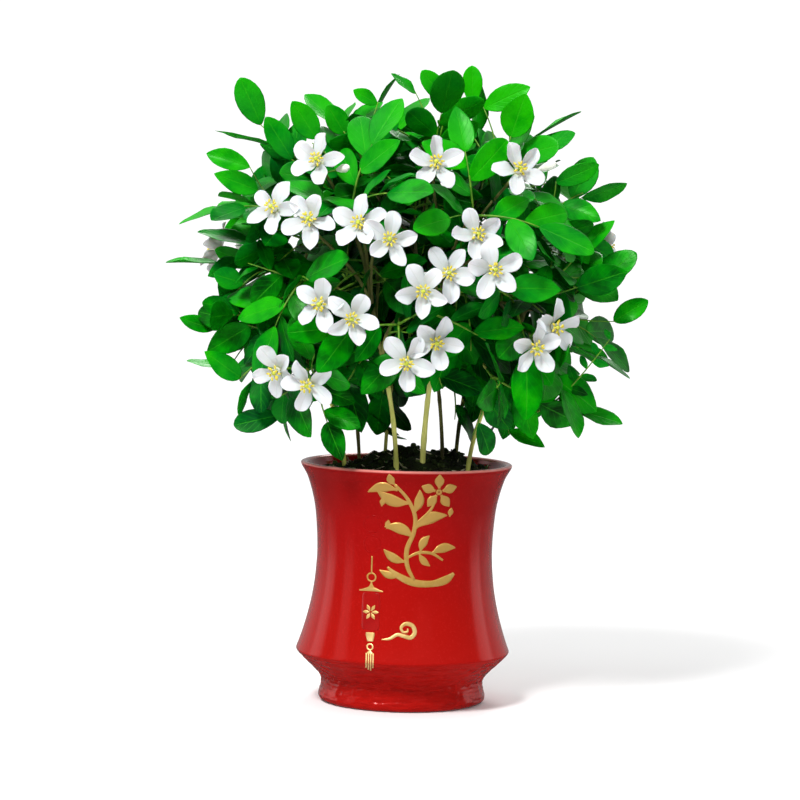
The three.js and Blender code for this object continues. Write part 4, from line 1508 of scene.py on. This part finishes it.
# Each leaf: sideways place, height, direction in degrees, length, half width and bend.
for leaf in (
    (-8, 156, 118, 9, 3.0, 1), (-6, 152, 186, 21, 3.8, -3), (3, 143, 160, 25, 4.4, 3),
    (6, 136, 78, 17, 3.6, -1.5), (6, 118, 160, 22, 4.2, -3), (7, 125, 22, 24, 4.4, 3),
    (1, 101, 152, 18, 3.4, 2), (11, 108.2, 62, 13, 3.2, 1.5),
    (19, 107, 12, 17, 3.6, 2), (10, 107, -48, 12, 2.6, -1), (-3, 91, 166, 15, 2.8, 1.5),
):
    leaf_stroke(sprig, *leaf)
for n in range(5):
    turn = 1.2566 * n + 0.3
    leaf_stroke(sprig, 23 + 2.6 * math.cos(turn), 151 + 2.6 * math.sin(turn), 72 * n + 17, 10.4, 3.6)
ring_stroke(sprig, 23, 151, 1.3, 0.9)
for x, z in ((-17, 140), (31, 133), (-13, 124)):
    leaf_stroke(sprig, x, z, 80, 6.5, 2.1)
made = sprig.piece("gold_sprig", [gold])
print(made.name, len(made.data.polygons), "faces")

# %% [markdown]
# The pendant hangs from a line: a ring, a little roof, a panel with a flower of six petals, a block,
# a second ring and a tassel. A scrolled cloud floats beside it.

# %% The pendant and the cloud
pendant = Skin()
stroke(pendant, [(-23, 104, 0.55), (-23, 98, 0.55), (-23, 92.4, 0.55)])
ring_stroke(pendant, -23, 89.2, 2.9, 0.6)
stroke(pendant, [(-23, 86.2, 0.5), (-23, 84.6, 0.8), (-23, 83.2, 1.6), (-23, 82, 2.6)])
stroke(pendant, [(-31.5, 79.6, 0.4), (-29, 79.9, 0.8), (-23, 81, 1.7), (-17, 79.9, 0.8), (-14.6, 79.6, 0.4)])
stroke(pendant, [(-23, 51, 3.3), (-23, 49, 3.4), (-23, 46.2, 2.6), (-23, 45, 2.2)])
ring_stroke(pendant, -23, 41.2, 2.0, 0.6)
stroke(pendant, [(-23, 38.8, 0.5), (-23, 37.4, 2.2), (-23, 36.6, 2.8)])
for x, bottom in ((-25.4, 26.5), (-23.8, 25), (-22.2, 24.4), (-20.6, 26.5)):
    stroke(pendant, [(x, 37, 0.6), (x, 31, 0.55), (x, bottom, 0.5)])
for n in range(6):
    leaf_stroke(pendant, -23 + 0.8 * math.cos(1.047 * n), 65 + 0.8 * math.sin(1.047 * n), 60 * n, 4.8, 1.3)
pendant.piece("gold_pendant", [gold])

cloud_scroll = Skin()
stroke(
    cloud_scroll,
    [
        (-15, 46.6, 0.3), (-9, 47.6, 1.1), (-4, 50.4, 1.3), (1, 49.4, 1.5), (5.5, 48.6, 1.6), (8.2, 52, 1.7),
        (6.6, 56.6, 1.6), (2, 58, 1.5), (-1.4, 55.4, 1.2), (0, 52.4, 0.9), (3, 52.6, 0.8), (3.2, 54.8, 0.5),
    ],
)
cloud_scroll.piece("gold_cloud", [gold])
print("pendant and cloud:", len(pendant.faces) + len(cloud_scroll.faces), "faces")

# %% [markdown]
# The panel behind the pendant's flower and two circles above the line aren't gilded. They are faint
# relief in the red glaze, so they show only where the light grazes them.

# %% The faint relief
plaque = Skin()
for z in (112.5, 127):
    ring_stroke(plaque, -23, z, 6, 0.45, proud=0.12)
stroke(
    plaque,
    [
        (-23, 78.4, 5.5), (-23, 77.6, 7.2), (-23, 75, 8), (-23, 65, 8), (-23, 56, 8), (-23, 53.4, 7.2),
        (-23, 52.6, 5.5),
    ],
    slot=1,
    proud=0.06,
)
plaque.piece("glazed_relief", [red_glaze, deep_red], "red_glaze")
print("relief:", len(plaque.faces), "faces")

# %% [markdown]
# ## The soil
#
# The bed is a turned form too, but its top is lumpy: it rises in mounds between the stems, and noise
# of two sizes roughens it.

# %% The bed of soil
def bed_height(x, y):
    r = math.hypot(x, y)
    lumps = 3.2 * noise.noise(Vector((x * 0.07, y * 0.07, 3)))
    lumps += 1.5 * noise.noise(Vector((x * 0.22, y * 0.22, 7)))
    mounds = 0
    for mx, my, size, rise in ((4, 6, 17, 11), (38, 12, 12, 9), (-26, 6, 13, 5), (22, -26, 10, 4)):
        mounds += rise * math.exp(-((x - mx) ** 2 + (y - my) ** 2) / (2 * size**2))
    inland = min(1, max(0, (66 - r) / 10))
    return soil_top(r) + lumps * (0.4 + 0.6 * inland) + mounds * inland


BED_RADIUS = 64.6
soil_skin = Skin()
angles = np.linspace(0, 2 * math.pi, 128, endpoint=False)
below = [(0.5, 12), (49, 12), (52, 21), (68, 41), (61, 75), (57.8, 108), (60, 138)]
rows = [[(r * math.cos(a), r * math.sin(a), z) for a in angles] for r, z in below]
for k in range(36):
    r = BED_RADIUS * (1 - k / 36) + 0.4
    circle = [(r * math.cos(a), r * math.sin(a)) for a in angles]
    rows.append([(x, y, bed_height(x, y)) for x, y in circle])
soil_skin.rings(rows, 0.16, 0)
print("the bed rises from", round(rows[7][0][2]), "to", round(max(p[2] for row in rows for p in row)), "mm")

# %% [markdown]
# Loose crumbs and litter lie on the bed. Each is a small bead of its own size, length and lie, set
# where the bed's surface is. Large crumbs are rare, as in sieved soil, and one in ten is pale litter.

# %% Crumbs and litter
for n in range(520):
    r, a = BED_RADIUS * math.sqrt(vary(n, 1, 61)), TURN * vary(n, 2, 62)
    x, y = r * math.cos(a) * 0.97, r * math.sin(a) * 0.97
    size = 0.6 + 1.7 * vary(n, 3, 63) ** 3
    way = Vector((vary(n, 4, 64) - 0.5, vary(n, 5, 65) - 0.5, 0.6 * vary(n, 6, 66) - 0.3)).normalized()
    long = size * (1 + 1.6 * vary(n, 7, 67) ** 2)
    litter = vary(n, 8, 68)
    centre = Vector((x, y, bed_height(x, y) + size * 0.35))
    if litter > 0.9:
        bead(soil_skin, centre + UP * 0.4, way, 0.55, long * 2.6, 5, 5, 0.95, 0)
    else:
        bead(soil_skin, centre, way, size, long, 6, 5, 0.22 + 0.42 * litter**2, 0)
soil_skin.piece("potting_soil", [soil_dark], "soil", ["soil_bed"])
print("the bed has", len(soil_skin.faces), "faces")

# %% [markdown]
# ## The floor
#
# A round pale floor carries the soft shadow. It is left out of the reflections, because its far edge
# would draw a hard line across the glaze.

# %% Floor
FLOOR_RADIUS = 0.95
FLOOR_SIDES = 96
floor_material, _, shader = new_material("pale_floor", Roughness=0.9, Specular_IOR_Level=0.1)
shader.inputs["Base Color"].default_value = (0.93, 0.93, 0.93, 1)
floor_mesh = bpy.data.meshes.new("floor")
round_edge = []
for k in range(FLOOR_SIDES):
    angle = math.tau * k / FLOOR_SIDES
    round_edge.append((FLOOR_RADIUS * math.cos(angle), FLOOR_RADIUS * math.sin(angle), 0))
floor_mesh.from_pydata(round_edge, [], [tuple(range(FLOOR_SIDES))])
floor_mesh.materials.append(floor_material)
floor = bpy.data.objects.new("floor", floor_mesh)
bpy.context.scene.collection.objects.link(floor)
floor.visible_glossy = False
print("the floor reaches", FLOOR_RADIUS, "m from the pot")

# %% [markdown]
# ## The surround
#
# A glossy pot shows what stands round it. So the surround is dark in front, with tall soft panels at
# the sides that draw long upright reflections, and a dim ceiling. All of it depends on the direction
# only. The camera itself sees plain white behind the plant.

# %% The surround
world = bpy.data.worlds.new("studio")
bpy.context.scene.world = world
world.use_nodes = True
sky = world.node_tree
way = new_tree_node(
    sky, "ShaderNodeSeparateXYZ", {"Vector": sky.nodes.new("ShaderNodeTexCoord").outputs["Generated"]}
).outputs


def band(side, low, high):
    """1 over a range of the sideways direction on one side, with soft edges."""
    rise = fade(sky, way["Y"], low, low + 0.12, smooth=True)
    fall = fade(sky, way["Y"], high, high - 0.12, smooth=True)
    one_side = fade(sky, way["X"], 0.0, side * 0.3, smooth=True)
    return maths(sky, "MULTIPLY", maths(sky, "MULTIPLY", rise, fall), one_side)


panels = maths(sky, "MULTIPLY", fade(sky, way["Y"], 0.1, 0.6, smooth=True), 0.3)
# Each panel: its side, where it begins and ends from front to back, and its strength.
for side, low, high, bright in ((-1, -0.4, -0.05, 0.7), (-1, 0.15, 0.55, 0.8), (1, 0.05, 0.5, 0.9)):
    panels = maths(sky, "ADD", panels, maths(sky, "MULTIPLY", band(side, low, high), bright))
panels = maths(sky, "MULTIPLY", panels, fade(sky, way["Z"], -0.3, 0.05, smooth=True))
ceiling = fade(sky, way["Z"], 0.3, 0.85, smooth=True)
seen = sky.nodes.new("ShaderNodeLightPath").outputs["Is Camera Ray"]
strength = maths(sky, "MULTIPLY_ADD", panels, 1.0)
strength.node.inputs[2].default_value = 0.1
strength = maths(sky, "ADD", strength, maths(sky, "MULTIPLY", ceiling, 0.4))
strength = maths(sky, "MAXIMUM", strength, maths(sky, "MULTIPLY", seen, 1.1))
sky.nodes["Background"].inputs["Color"].default_value = (1, 1, 1, 1)
sky.links.new(strength, sky.nodes["Background"].inputs["Strength"])
print("the surround has", len(sky.nodes), "nodes")

# %% [markdown]
# ## The lamps
#
# One broad lamp high in front on the left gives the leaves their shine and the flowers their shape. A
# weak one on the right opens the shadows, and one behind draws a light edge round the crown.

# %% The lamps

def lamp(name, place, target, width, height, power):
    data = bpy.data.lights.new(name, "AREA")
    data.shape = "RECTANGLE"
    data.size, data.size_y, data.energy = width, height, power
    made = bpy.data.objects.new(name, data)
    made.location = place
    made.rotation_euler = (Vector(target) - Vector(place)).to_track_quat("-Z", "Y").to_euler()
    bpy.context.scene.collection.objects.link(made)
    return made


lamp("key", (-0.8, -1.5, 2.0), (0, 0, 0.3), 0.6, 0.6, 60)
fill = lamp("fill", (0.9, -2.0, 0.9), (0, 0, 0.2), 0.8, 0.8, 11)
lamp("back", (0.3, 1.6, 1.6), (0, 0, 0.3), 1.0, 0.8, 18)
fill.visible_glossy = False
print("lamps:", [light.name for light in bpy.data.lights])
